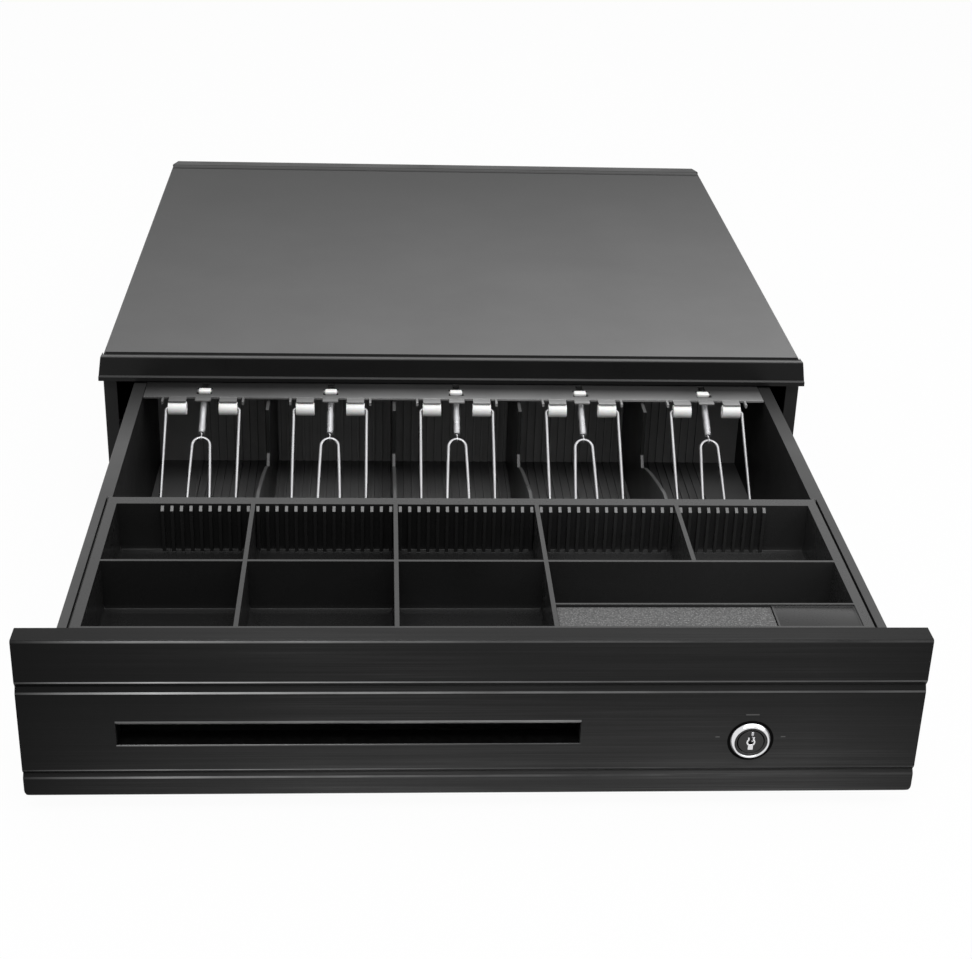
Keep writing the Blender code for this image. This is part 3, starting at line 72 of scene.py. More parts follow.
# Clip bails: wire, half width, length down the slope, inner legs and loop
CLIPS = 5
WIRE_RADIUS = 0.0010
WIRE_SIDES = 12
WIRE_CORNER = 0.0016
WIRE_IN_BUSH = 0.0115
BUSH_BORE = 0.00115
BAIL_HALF = 0.0208
BAIL_LENGTH = 0.1030
BAIL_SLOPE = math.radians(38.0)
INNER_LEG = 0.0064
LEG_BOW = 0.0005
LOOP_RADIUS = 0.0050
LOOP_AT = 0.0190

# Clip springs: each runs from a point behind its clip's hinge to the bail's loop
SPRING_WIRE = 0.00032
SPRING_SIDES = 7
SPRING_RADIUS = 0.00185
SPRING_TURNS = 38
TURN_STEPS = 12
SPRING_TOP = Vector((0, 0.0090, 0.0009))
SPRING_START = 0.0012
SPRING_END = 0.0030
HOOK_RADIUS = 0.0016
HOOK_SWEEP = 1.55 * math.pi
HOOK_STEPS = 11

# White beads on the rail, each round its own middle
BEAD_BACK = 0.0150
BEAD_SUNK = 0.0008
BEAD_BELOW = Vector((0.0036, 0.0021, 0.0015))
BEAD_ABOVE = Vector((0.0036, 0.0021, 0.0010))

# Rail ears: their gap from the wires, the band they lie in and the length left of them
EAR_GAP = 0.0006
EAR_BAND = 0.003
EAR_TICK = 0.0024

# Media slot: upper edge, height, the band above it that gets a painted highlight, and how much
# narrower its bevel is below and at its ends
SLOT_TOP = FASCIA_LOW.z + 0.0378
SLOT_HEIGHT = 0.0100
SLOT_BAND = 0.0010
SLOT_EASE = 0.0011
# Where the slot's own corners are looked for: below and above its upper edge, and left of the lock
SLOT_BELOW = 0.004
SLOT_ABOVE = 0.006
SLOT_LIMIT = 0.06

# Lips on the fascia that get a painted highlight: their width, how long and how sharp an edge has to
# be, and the heights above the fascia's foot and round the slot's upper edge that stay as they are;
# then the depth that counts as the front
LIP = 0.0005
LIP_LENGTH = 0.01
LIP_ANGLE = math.radians(25)
PLAIN_FOOT = 0.004
PLAIN_ROUND_SLOT = 0.003
FASCIA_FRONT_DEPTH = 0.0009

# Seams across the cabinet top: the step behind the front trim, and the rolled line at the back
SEAM_WIDTH = 0.0031
SEAM_DROP = 0.0009
STRIP_SLOPE = 0.0004
REAR_SEAM = 0.0085
REAR_SEAM_HALF = 0.0012

# Coin tray: height of its ribs under the rim, the drop and reach of the slope on their tops, and how
# far down the painted light on upward faces reaches and thins out
RIB_HEAD = 0.0012
RIB_SLOPE = 0.0019
RIB_REACH = 0.003
TOP_LIGHT_REACH = 0.0020
TOP_LIGHT_EDGE = 0.0006

# The insert's rim gets painted shade between these two places, darker towards the cabinet
INSERT_RIM_FRONT = -0.140
INSERT_RIM_REAR = -0.055

# Edges sharper than this, in degrees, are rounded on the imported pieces
EDGE_ANGLE = 28.0

# Dark lens beside the pad: its gap, its distance from the tray's side, its inset and thickness
CARD_GAP = 0.0012
CARD_SIDE = 0.0054
CARD_INSET = 0.0002
CARD_THICK = 0.0008

# Keyhole guard: radius, wire, and the arc that it runs through, in degrees
GUARD_RADIUS = 0.0017
GUARD_WIRE = 0.00050
GUARD_FROM = 128
GUARD_SWEEP = 284
GUARD_STEPS = 24

# Keyway wards: how many, where the lowest starts, the step from one to the next, and height
WARDS = 3
WARD_FOOT = -0.0022
WARD_PITCH = 0.0020
WARD_HEIGHT = 0.0006

# Screw heads: radius, places across, and distances from the edges of rear panel and base
REAR_SCREW = 0.0030
REAR_SCREW_X = (-0.170, 0.0, 0.170)
REAR_SCREW_LOW = 0.010
REAR_SCREW_HIGH = 0.024
BASE_SCREW = 0.0032
BASE_SCREW_X = (-0.190, 0.190)
BASE_SCREW_INSET = 0.060

# Share of the floor that shows as plain white, and the room's light on the object
FLOOR_WHITE = 0.96
ROOM_LIGHT = 0.42

# Places of the further finishes in a piece's own list
STEP_FINISH = 1
RIB_FINISH = 1
LIP_FINISH = 1
BAND_FINISH = 2
WALL_FINISH = 3

# The photograph's viewpoint, fitted to the drawer's corners: pitch, yaw and roll in degrees
CAMERA_TURN = (26.008, 3.776, -1.912)
CAMERA_X = -0.04415
CAMERA_AHEAD = 0.6808
CAMERA_ABOVE = 0.49457
SENSOR_WIDTH = 36.0
PHOTO_WIDTH = 972
FOCAL_PIXELS = 1794.54

# Softboxes: name, place, target, size and watts
SOFTBOXES = (
    ("overhead_softbox", (0.20, -0.30, 2.0), (0, -0.10, 0), (1.8, 1.8), 16.0),
    ("right_softbox", (1.5, -0.7, 1.2), (0, -0.10, 0), (1.0, 1.2), 9.0),
    ("front_strip_light", (-0.1, -1.20, 1.75), (0, -0.25, 0), (1.5, 0.35), 12.0),
)


# Shape helpers


def near(one, other):
    """Whether two coordinates count as the same."""
    return abs(one - other) < SAME


def placed(bm, name, sharp):
    """The working mesh as a named object in the scene, smooth but for edges sharper than an angle."""
    mesh = bpy.data.meshes.new(name)
    bm.to_mesh(mesh)
    bm.free()
    mesh.shade_smooth()
    mesh.set_sharp_from_angle(angle=math.radians(sharp))
    made = bpy.data.objects.new(name, mesh)
    bpy.context.scene.collection.objects.link(made)
    return made


def solid(bm, name, sharp=35.0):
    """A new form as an object, its faces all turned outwards."""
    bmesh.ops.recalc_face_normals(bm, faces=bm.faces)
    return placed(bm, name, sharp)


def wear(made, finish, slot, body, *stands_for):
    """Gives a piece its finish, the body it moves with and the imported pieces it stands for."""
    made.data.materials.append(finish)
    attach(made, body)
    if stands_for:
        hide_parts(*stands_for)


def block(bm, low, high, ease, segments):
    """A block between two corners, its edges eased."""
    low, high = Vector(low), Vector(high)
    made = bmesh.ops.create_cube(bm, size=1.0)["verts"]
    bmesh.ops.scale(bm, vec=high - low, verts=made)
    bmesh.ops.translate(bm, vec=(low + high) / 2, verts=made)
    edges = list({e for v in made for e in v.link_edges})
    bmesh.ops.bevel(
        bm, geom=edges, offset=ease, segments=segments, profile=0.5, affect="EDGES", material=-1
    )


# Turns that lay a section's height along an axis
ALONG = {
    "x": Matrix.Rotation(QUARTER, 4, "Y"),
    "y": Matrix.Rotation(-QUARTER, 4, "X"),
    "z": Matrix.Identity(4),
}


def lathe(bm, profile, centre, axis, steps):
    """Spins a (radius, height) profile about an axis through centre."""
    turn = Matrix.Translation(centre) @ ALONG[axis]
    verts = [bm.verts.new(turn @ Vector((r, 0, h))) for r, h in profile]
    edges = [bm.edges.new(pair) for pair in zip(verts, verts[1:])]
    way = (turn.to_3x3() @ Vector((0, 0, 1))).normalized()
    bmesh.ops.spin(
        bm, geom=verts + edges, cent=centre, axis=way, angle=math.tau, steps=steps, use_merge=True
    )
    bmesh.ops.remove_doubles(bm, verts=bm.verts, dist=MERGE)


def wire_frames(points):
    """A turn-free frame at every point of a path."""
    ahead = (points[1] - points[0]).normalized()
    side = ahead.orthogonal().normalized()
    frames = []
    for i, point in enumerate(points):
        before = points[max(i - 1, 0)]
        after = points[min(i + 1, len(points) - 1)]
        now = (after - before).normalized()
        side = (ahead.rotation_difference(now) @ side).normalized()
        side = (side - now * side.dot(now)).normalized()
        ahead = now
        other = now.cross(side)
        turn = Matrix((side, other, now)).transposed().to_4x4()
        frames.append(Matrix.Translation(point) @ turn)
    return frames


def drawn_wire(bm, points, radius, sides):
    """A round wire drawn along points, by extruding a ring from frame to frame, both ends closed."""
    points = [Vector(p) for p in points]
    frames = wire_frames(points)
    ring = bmesh.ops.create_circle(
        bm, cap_ends=True, segments=sides, radius=radius, matrix=frames[0]
    )["verts"]
    loop = list({e for v in ring for e in v.link_edges if len(e.link_faces) == 1})
    for before, after in zip(frames, frames[1:]):
        step = bmesh.ops.extrude_edge_only(bm, edges=loop)["geom"]
        ring = [g for g in step if isinstance(g, bmesh.types.BMVert)]
        loop = [g for g in step if isinstance(g, bmesh.types.BMEdge) and len(g.link_faces) == 1]
        bmesh.ops.transform(bm, matrix=after @ before.inverted(), verts=ring)
    bmesh.ops.holes_fill(bm, edges=loop, sides=0)


def packed_form(node):
    """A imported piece's mesh, its loose triangles merged back to flat faces."""
    bm = bmesh.new()
    bm.from_mesh(NODES[node].data)
    bmesh.ops.remove_doubles(bm, verts=bm.verts, dist=MERGE)
    bmesh.ops.dissolve_limit(
        bm, angle_limit=FLAT_ANGLE, verts=bm.verts, edges=bm.edges, use_dissolve_boundaries=False
    )
    return bm


def sliced(bm, place, way):
    """Cuts new edges where a plane meets the piece."""
    bmesh.ops.bisect_plane(
        bm, geom=bm.verts[:] + bm.edges[:] + bm.faces[:], dist=CUT, plane_co=place, plane_no=way
    )


def eased(bm, name, ease, segments, angle, rim=-1):
    """The piece with its sharp edges rounded, as moulding leaves them; rim is their finish's place."""
    limit = math.radians(angle)
    low = [min(v.co[i] for v in bm.verts) for i in range(3)]
    high = [max(v.co[i] for v in bm.verts) for i in range(3)]
    edges = [e for e in bm.edges if len(e.link_faces) == 2 and e.calc_face_angle(0) > limit]
    bmesh.ops.bevel(
        bm, geom=edges, offset=ease, segments=segments, profile=0.5, affect="EDGES",
        clamp_overlap=True, material=rim,
    )
    # Rounding a corner never carries it beyond the piece
    for v in bm.verts:
        v.co = Vector([min(max(c, least), most) for c, least, most in zip(v.co, low, high)])
    made = placed(bm, name, 50)
    # Broad faces stay flat to the light, and only the rounded edges curve
    flat = made.modifiers.new("flat_faces", "WEIGHTED_NORMAL")
    flat.mode = "FACE_AREA"
    flat.keep_sharp = True
    return made


def clip_pivots():
    """The hinge point of every clip, between its two bushes."""
    pivots = []
    for index in range(1, CLIPS + 1):
        low_a, high_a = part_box(f"clip_barrel_{index}_left")
        low_b, high_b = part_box(f"clip_barrel_{index}_right")
        pivots.append((low_a + high_a + low_b + high_b) / 4)
    return pivots


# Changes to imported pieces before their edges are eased


def seamed_top(bm):
    """The top panel steps down behind the front trim, and a rolled line runs across it at the back."""
    top = max(v.co.z for v in bm.verts)
    step = min(v.co.y for v in bm.verts if v.co.z > top - SAME) + SEAM_WIDTH
    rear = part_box("rear_trim")[0].y - REAR_SEAM
    for y in (step, step + SAME, rear - REAR_SEAM_HALF, rear, rear + REAR_SEAM_HALF):
        sliced(bm, (0, y, top), (0, 1, 0))
    for v in bm.verts:
        sunk = v.co.y < step + SAME / 2 or near(v.co.y, rear)
        if sunk and v.co.z > top - SAME:
            v.co.z -= SEAM_DROP
    # The step behind the trim gets a darker copy of the powder coat, as painted shade
    for face in bm.faces:
        middle = face.calc_center_median()
        if middle.z > top - SEAM_DROP - SAME and middle.y < step + SAME:
            face.material_index = STEP_FINISH


def sloped_strip(bm):
    """The trim's top strip falls slightly towards the seam behind it."""
    top = max(v.co.z for v in bm.verts)
    rear = max(v.co.y for v in bm.verts if v.co.z > top - SAME)
    for v in bm.verts:
        if v.co.z > top - SAME and v.co.y > rear - 2 * SAME:
            v.co.z -= STRIP_SLOPE


def short_ears(bm):
    """The rail's ears end in short ticks beside the wires."""
    reach = BAIL_HALF + EAR_GAP
    tip = RAIL_HIGH.z - EAR_TICK
    for pivot in clip_pivots():
        for v in bm.verts:
            if reach < abs(v.co.x - pivot.x) < reach + EAR_BAND and v.co.z < tip:
                v.co.z = tip


def sloped_ribs(bm):
    """The coin ribs' tops slope down from the bar, and their slopes get a pale painted highlight."""
    head = TRAY_HIGH.z - RIB_HEAD
    tops = [v for v in bm.verts if near(v.co.z, head)]
    front = min(v.co.y for v in tops)
    for v in tops:
        if v.co.y < front + 2 * SAME:
            v.co.z -= RIB_SLOPE
    bm.normal_update()
    for face in bm.faces:
        middle = face.calc_center_median()
        slope = head - RIB_SLOPE < middle.z < head and face.normal.z > 0.3
        if slope and front < middle.y < front + RIB_REACH:
            face.material_index = RIB_FINISH


def bright_mouth(bm):
    """The media slot's upper bevel, and a narrow band above it, get a painted highlight."""
    front = FASCIA_LOW.y
    mouth = [
        v.co for v in bm.verts
        if SLOT_TOP - SLOT_BELOW < v.co.z < SLOT_TOP + SLOT_ABOVE and v.co.x < SLOT_LIMIT
    ]
    top = max(p.z for p in mouth if near(p.y, front))
    ends = [p.x for p in mouth if near(p.z, top)]
    left, right = min(ends), max(ends)
    low = top - SLOT_HEIGHT - 2 * (top - SLOT_TOP)
    # The bevel is broad above the slot and only a fine edge below and at its ends
    for v in bm.verts:
        if near(v.co.y, front) and low - SAME < v.co.z < top + SAME:
            at_left = near(v.co.x, left)
            if at_left or near(v.co.x, right):
                v.co.x += SLOT_EASE if at_left else -SLOT_EASE
                if v.co.z < SLOT_TOP:
                    v.co.z += SLOT_EASE
    left, right = left + SLOT_EASE, right - SLOT_EASE
    sliced(bm, (0, 0, top + SLOT_BAND), (0, 0, 1))
    sliced(bm, (left, 0, 0), (1, 0, 0))
    sliced(bm, (right, 0, 0), (1, 0, 0))
    for face in bm.faces:
        middle = face.calc_center_median()
        above = left < middle.x < right and SLOT_TOP - SAME < middle.z < top + SLOT_BAND
        if above and face.normal.y < -0.3:
            face.material_index = BAND_FINISH
    highlighted_lips(bm, top)


def highlighted_lips(bm, slot_top):
    """The long lips of the grooves, the top edge and the slot's lower lip are widened and get a painted
    highlight.
    """
    front = FASCIA_LOW.y
    lips = []
    for edge in bm.edges:
        one, other = (v.co for v in edge.verts)
        level = near(one.z, other.z) and near(one.y, front) and near(other.y, front)
        inside = one.z > FASCIA_LOW.z + PLAIN_FOOT and abs(one.z - slot_top) > PLAIN_ROUND_SLOT
        long = (one - other).length > LIP_LENGTH
        if level and inside and long and edge.calc_face_angle(0) > LIP_ANGLE:
            lips.append(edge)
    bmesh.ops.bevel(
        bm, geom=lips, offset=LIP, segments=3, profile=0.5, affect="EDGES",
        clamp_overlap=False, material=LIP_FINISH,
    )


def in_slot(face):
    """Whether a face of the fascia is one of the media slot's walls, which get near-black painted shade.
    """
    level = SLOT_TOP + 0.0015 > face.center.z > SLOT_TOP - SLOT_HEIGHT - 0.0025
    return level and FASCIA_LOW.x + 0.02 < face.center.x < SLOT_LIMIT and abs(face.normal.y) < 0.5


def plain_behind(piece):
    """Behind its front the fascia is plain again, but for the slot's walls in painted shade."""
    for face in piece.data.polygons:
        if face.center.y > FASCIA_LOW.y + FASCIA_FRONT_DEPTH:
            face.material_index = WALL_FINISH if in_slot(face) else 0


# Finishes


class Finish:
    """A Principled surface and a few words for building its pattern."""

    def __init__(self, name, colour, roughness, metallic=0.0, specular=0.5):
        self.made = bpy.data.materials.new(name)
        self.made.use_nodes = True
        self.tree = self.made.node_tree
        self.shader = self.tree.nodes["Principled BSDF"]
        self.shader.inputs["Base Color"].default_value = (*colour, 1)
        self.shader.inputs["Roughness"].default_value = roughness
        self.shader.inputs["Metallic"].default_value = metallic
        self.shader.inputs["Specular IOR Level"].default_value = specular
        coordinates = self.node("ShaderNodeTexCoord")
        self.place = coordinates.outputs["Object"]
        self.facing = coordinates.outputs["Normal"]

    def node(self, kind, **settings):
        made = self.tree.nodes.new(kind)
        for key, value in settings.items():
            setattr(made, key, value)
        return made

    def link(self, out, into):
        self.tree.links.new(out, into)

    def fill(self, socket, value):
        """Links a pattern to a socket, or sets a plain value on it."""
        if hasattr(value, "links"):
            self.link(value, socket)
        else:
            socket.default_value = value

    def stretched(self, scale):
        """Object coordinates scaled differently along the three axes."""
        mapping = self.node("ShaderNodeMapping")
        mapping.inputs["Scale"].default_value = scale
        self.link(self.place, mapping.inputs["Vector"])
        return mapping.outputs["Vector"]

    def noise(self, scale, detail=3.0, rough=0.5, where=None, warp=0.0):
        made = self.node("ShaderNodeTexNoise")
        made.inputs["Scale"].default_value = scale
        made.inputs["Detail"].default_value = detail
        made.inputs["Roughness"].default_value = rough
        made.inputs["Distortion"].default_value = warp
        self.link(where or self.place, made.inputs["Vector"])
        return made.outputs["Fac"]

    def cells(self, scale):
        made = self.node("ShaderNodeTexVoronoi")
        made.inputs["Scale"].default_value = scale
        self.link(self.place, made.inputs["Vector"])
        return made.outputs["Distance"]

    def band(self, value, low, high, to_low, to_high):
        """A value between low and high carried over to a new range, and held beyond its ends."""
        made = self.node("ShaderNodeMapRange")
        for key, number in (
            ("From Min", low), ("From Max", high), ("To Min", to_low), ("To Max", to_high)
        ):
            made.inputs[key].default_value = number
        self.link(value, made.inputs["Value"])
        return made.outputs["Result"]

    def spread(self, noise, to_low, to_high):
        """The middle of a noise's range, spread between two values."""
        return self.band(noise, 0.3, 0.7, to_low, to_high)

    def shades(self, value, *stops):
        """A ramp of colours over a value."""
        ramp = self.node("ShaderNodeValToRGB")
        spots = ramp.color_ramp.elements
        while len(spots) < len(stops):
            spots.new(0.5)
        for spot, (at, colour) in zip(spots, stops):
            spot.position = at
            spot.color = (*colour, 1)
        self.link(value, ramp.inputs["Fac"])
        return ramp.outputs["Color"]

    def blend(self, factor, first, second, how="MIX"):
        """Two colours mixed; inputs 0, 6 and 7 of the node are its factor and its two colours."""
        made = self.node("ShaderNodeMix", data_type="RGBA", blend_type=how)
        for value, key in ((factor, 0), (first, 6), (second, 7)):
            self.fill(made.inputs[key], value)
        return made.outputs[2]

    def scaled(self, colour, share):
        """A colour made lighter or darker by a pattern."""
        return self.blend(1.0, colour, share, "MULTIPLY")

    def maths(self, how, first, second):
        made = self.node("ShaderNodeMath", operation=how)
        for index, value in enumerate((first, second)):
            self.fill(made.inputs[index], value)
        return made.outputs[0]

    def product(self, first, *others):
        """Patterns multiplied together, one after another."""
        for other in others:
            first = self.maths("MULTIPLY", first, other)
        return first

    def axes(self, vector=None):
        """The three separate parts of a place or a direction."""
        split = self.node("ShaderNodeSeparateXYZ")
        self.link(vector or self.place, split.inputs[0])
        return split.outputs

    def painted_top_light(self, colour, level, reach=None):
        """Painted light on what faces up, stronger to the front and right, a little patchy; reach is its
        lowest height.
        """
        lit_share = self.band(self.axes(self.facing)[2], 0.6, 0.98, 0.0, 1.0)
        x, y, z = self.axes()
        if reach:
            lit_share = self.product(lit_share, self.band(z, reach - TOP_LIGHT_EDGE, reach, 0.0, 1.0))
        # The painted light grows towards the front and to the right
        lengthwise = self.band(y, CABINET_HIGH.y, CABINET_LOW.y, 0.12, 0.78)
        sideways = self.band(x, CABINET_LOW.x, CABINET_HIGH.x, 0.72, 1.28)
        patchy = self.spread(self.noise(14.0, 5.0, 0.6), 0.92, 1.06)
        lit_share = self.product(lengthwise, sideways, lit_share, patchy)
        return self.blend(lit_share, colour, (*grey(level), 1))

    def colour(self, out):
        self.link(out, self.shader.inputs["Base Color"])

    def rough(self, out):
        self.link(out, self.shader.inputs["Roughness"])

    def relief(self, height, strength, distance):
        """Fine relief too small for the mesh."""
        made = self.node("ShaderNodeBump")
        made.inputs["Strength"].default_value = strength
        made.inputs["Distance"].default_value = distance
        self.link(height, made.inputs["Height"])
        self.link(made.outputs["Normal"], self.shader.inputs["Normal"])


def grey(level, tint=1.0):
    """A neutral colour, its blue part scaled by tint."""
    return (level, level, level * tint)


def powder_coat(name, level, roughness, top_light):
    """Satin powder coat: fine orange peel, faint clouding, rubbed streaks and painted light on its upward
    faces.
    """
    f = Finish(name, grey(level), roughness, 0.0, 0.14)
    cloud = f.noise(9.0, 4.0)
    tone = f.shades(
        cloud, (0.3, grey(level * 0.88)), (0.55, grey(level)), (0.75, grey(level * 1.12, 1.02))
    )
    f.colour(f.painted_top_light(tone, top_light))
    rubbed = f.noise(5.0, 4.0, 0.55)
    peel = f.noise(1500.0, 2.0)
    gloss = f.spread(rubbed, roughness - 0.015, roughness + 0.015)
    f.rough(f.maths("ADD", gloss, f.spread(peel, -0.02, 0.02)))
    f.relief(peel, 0.10, 0.00006)
    return f.made


def brushed_face():
    """Black anodised face, brushed from side to side: long streaks in tone, gloss and relief."""
    f = Finish("brushed_black_face", grey(0.016), 0.36, 0.0, 0.10)
    fine = f.noise(1.0, 3.0, 0.6, f.stretched((9.0, 900.0, 2600.0)))
    broad = f.noise(1.0, 4.0, 0.65, f.stretched((5.0, 60.0, 380.0)), 0.2)
    patch = f.noise(1.0, 3.0, 0.5, f.stretched((7.0, 20.0, 26.0)))
    worn = f.product(
        f.band(fine, 0.35, 0.75, 0.0, 1.0), f.band(broad, 0.3, 0.72, 0.1, 1.0),
        f.band(patch, 0.35, 0.7, 0.35, 1.0),
    )
    tone = f.shades(
        worn, (0.0, grey(0.022)), (0.35, grey(0.044)), (0.7, grey(0.074)), (1.0, grey(0.115))
    )
    # Painted light: the lower part is paler, and the ends and the upper part are darker
    x, _, z = f.axes()
    lower = f.band(z, FASCIA_LOW.z + 0.006, FASCIA_LOW.z + 0.055, 1.25, 0.46)
    left = f.band(x, FASCIA_LOW.x, FASCIA_LOW.x + 0.130, 0.08, 1.0)
    right = f.band(x, FASCIA_HIGH.x - 0.050, FASCIA_HIGH.x, 1.0, 0.55)
    f.colour(f.scaled(tone, f.product(left, right, lower)))
    f.rough(f.band(worn, 0.0, 0.8, 0.30, 0.50))
    f.relief(fine, 0.22, 0.00005)
    return f.made


def painted_edge_highlight(name, metallic, along, heights):
    """Painted highlight on the fascia's edges: brightness at three places along, times a share for each
    height.
    """
    f = Finish(name, grey(0.16), 0.34, metallic, 0.5)
    left, middle, right = along
    upper, slot, lower = heights
    x, _, z = f.axes()
    drawn = f.noise(1.0, 4.0, 0.6, f.stretched((30.0, 200.0, 200.0)))
    first, second = FASCIA_LOW.x + 0.060, FASCIA_LOW.x + 0.210
    above = f.band(z, SLOT_TOP + 0.006, SLOT_TOP + 0.014, slot, upper)
    below = f.band(z, SLOT_TOP - 0.022, SLOT_TOP - 0.018, lower, slot)
    tone = f.product(
        f.band(x, first, second, left, middle),
        f.band(x, second, FASCIA_LOW.x + 0.370, 1.0, right),
        # The left end stays dark
        f.band(x, FASCIA_LOW.x, first, 0.08, 1.0),
        f.spread(drawn, 0.7, 1.2),
        f.maths("MAXIMUM", above, below),
        # The top edge is half as bright
        f.band(z, FASCIA_HIGH.z - 0.003, FASCIA_HIGH.z - 0.002, 1.0, 0.5),
    )
    f.colour(f.blend(tone, (*grey(0.0), 1), (*grey(1.0), 1)))
    f.rough(f.spread(drawn, 0.28, 0.42))
    f.relief(drawn, 0.1, 0.00003)
    return f.made


def moulding_flow(f):
    """Faint flow marks, as the melt leaves them."""
    return f.noise(7.0, 4.0, 0.55, f.stretched((1.0, 1.6, 2.2)), 0.6)


def moulding_skin(f, grain, roughness):
    """Spark-eroded grain and the shine that handling leaves."""
    grains = f.noise(grain, 2.0)
    handled = f.noise(22.0, 5.0, 0.6)
    gloss = f.band(handled, 0.35, 0.7, roughness - 0.06, roughness + 0.05)
    f.rough(f.maths("ADD", gloss, f.spread(grains, -0.03, 0.03)))
    f.relief(grains, 0.12, 0.00005)


def insert_moulding():
    """Bill insert: matt ribbed floor, painted light on its rear wall, painted shade on its sides and rim.
    """
    f = Finish("black_insert_moulding", grey(0.06), 0.42, 0.0, 0.05)
    matt = f.shades(moulding_flow(f), (0.25, grey(0.118)), (0.55, grey(0.145)), (0.8, grey(0.172)))
    across, lengthwise, _ = f.axes(f.facing)
    # Painted light: faces turned to the front and back, such as the rear wall, are paler
    painted_wall_light = f.band(f.maths("ABSOLUTE", lengthwise, 0.0), 0.5, 0.9, 1.0, 2.8)
    matt = f.scaled(matt, painted_wall_light)
    # Below its rim the insert keeps its tone; the rim gets painted shade, darkest near the cabinet
    _, y, z = f.axes()
    rim = f.band(y, INSERT_RIM_FRONT, INSERT_RIM_REAR, 0.60, 0.12)
    below = f.band(z, INSERT_HIGH.z - 0.003, INSERT_HIGH.z - 0.002, 1.0, 0.0)
    matt = f.scaled(matt, f.maths("MAXIMUM", rim, below))
    # Painted shade on the side walls
    side = f.band(f.maths("ABSOLUTE", across, 0.0), 0.5, 0.9, 0.0, 1.0)
    f.colour(f.blend(side, matt, (*grey(0.014), 1)))
    moulding_skin(f, 2400.0, 0.42)
    return f.made


def moulded(name, level, roughness, grain, specular=0.5, top_light=None, reach=None, painted_light_across=None):
    """Injection-moulded black plastic, optionally paler to one side with painted light: two places across
    it and the gain at the second.
    """
    f = Finish(name, grey(level), roughness, 0.0, specular)
    tone = f.shades(
        moulding_flow(f), (0.25, grey(level * 0.8)), (0.55, grey(level)), (0.8, grey(level * 1.3, 1.03))
    )
    if painted_light_across:
        # Painted light: paler across the piece, up to the gain at the second place
        start, end, gain = painted_light_across
        tone = f.scaled(tone, f.band(f.axes()[0], start, end, 1.0, gain))
    f.colour(f.painted_top_light(tone, top_light, reach) if top_light else tone)
    moulding_skin(f, grain, roughness)
    return f.made


def plated(name, level, roughness, streak, tint=1.0, painted_rail_shade=None, metallic=1.0):
    """Plated steel: soft clouding, fine drawn lines, bright but not a mirror."""
    f = Finish(name, grey(level, tint), roughness, metallic)
    cloud = f.noise(30.0, 4.0)
    lines = f.noise(12.0, 4.0, 0.6, f.stretched(streak))
    tone = f.shades(
        cloud, (0.25, grey(level * 0.82, tint)), (0.5, grey(level, tint)),
        (0.8, grey(level * 1.1, tint)),
    )
    if painted_rail_shade:
        # For the clip rail: painted shade, darker from the front backwards and from its middle to the
        # left
        start, end, share = painted_rail_shade
        x, y, _ = f.axes()
        backwards = f.band(y, start, end, 1.0, share)
        tone = f.scaled(tone, f.product(backwards, f.band(x, RAIL_LOW.x, 0.0, 0.32, 1.0)))
    f.colour(tone)
    f.rough(f.spread(lines, roughness * 0.8, roughness * 1.25))
    f.relief(lines, 0.08, 0.00004)
    return f.made


def bright_chrome(name, level, roughness):
    """Nickel-chrome with faint polishing haze."""
    f = Finish(name, grey(level, 1.02), roughness, 1.0)
    haze = f.noise(180.0, 4.0)
    f.rough(f.band(haze, 0.3, 0.75, roughness * 0.7, roughness * 1.8))
    f.colour(f.shades(f.noise(60.0), (0.3, grey(level * 0.92, 1.02)), (0.7, grey(level, 1.02))))
    f.relief(haze, 0.03, 0.00002)
    return f.made


def white_nylon():
    """Moulded nylon: milky, slightly waxy, with a trace of grey handling."""
    f = Finish("white_nylon_bush", (0.93, 0.93, 0.92), 0.40, 0.0, 0.45)
    f.shader.inputs["Subsurface Weight"].default_value = 0.05
    f.shader.inputs["Subsurface Scale"].default_value = 0.001
    soil = f.noise(240.0, 4.0)
    f.colour(f.shades(
        soil, (0.25, (0.89, 0.89, 0.88)), (0.5, (0.93, 0.93, 0.92)), (0.8, (0.96, 0.96, 0.95))
    ))
    f.rough(f.spread(soil, 0.36, 0.50))
    f.relief(f.noise(2200.0, 2.0), 0.06, 0.00004)
    return f.made


def speckled_foam():
    """Grey sponge pad: open cells seen as light and dark speckle."""
    f = Finish("speckled_sponge_pad", grey(0.16), 0.92, 0.0, 0.25)
    pores = f.band(f.cells(1050.0), 0.05, 0.6, 1.0, 0.35)
    specks = f.spread(f.noise(850.0, 5.0, 0.75), 0.3, 1.2)
    mixed = f.product(pores, specks)
    f.colour(f.shades(
        mixed, (0.1, grey(0.065)), (0.4, grey(0.145)), (0.7, grey(0.210)), (0.95, grey(0.40))
    ))
    f.relief(mixed, 0.8, 0.0004)
    return f.made


def rubber(name, level, specular):
    """Matt rubber with a dusty bloom."""
    f = Finish(name, grey(level), 0.82, 0.0, specular)
    bloom = f.noise(320.0, 4.0)
    f.colour(f.shades(bloom, (0.3, grey(level)), (0.7, grey(level * 2.2))))
    f.rough(f.spread(bloom, 0.74, 0.9))
    f.relief(bloom, 0.15, 0.0001)
    return f.made


STEEL = powder_coat("black_powder_coat", 0.012, 0.46, 0.175)
# A darker copy of the powder coat: painted shade on the step behind the front trim
STEP_SHADE_STEEL = powder_coat("black_powder_coat_painted_shade", 0.004, 0.5, 0.004)
PAN_STEEL = powder_coat("black_powder_coat_pan", 0.008, 0.42, 0.046)
TRIM = moulded("satin_black_trim", 0.010, 0.34, 3200.0, specular=0.12, top_light=0.085)
# The tray's right part is made paler: painted light
TRAY = moulded(
    "black_tray_moulding", 0.013, 0.28, 2600.0, specular=0.26, top_light=0.058,
    reach=TRAY_HIGH.z - TOP_LIGHT_REACH, painted_light_across=(0.0, 0.12, 2.4),
)
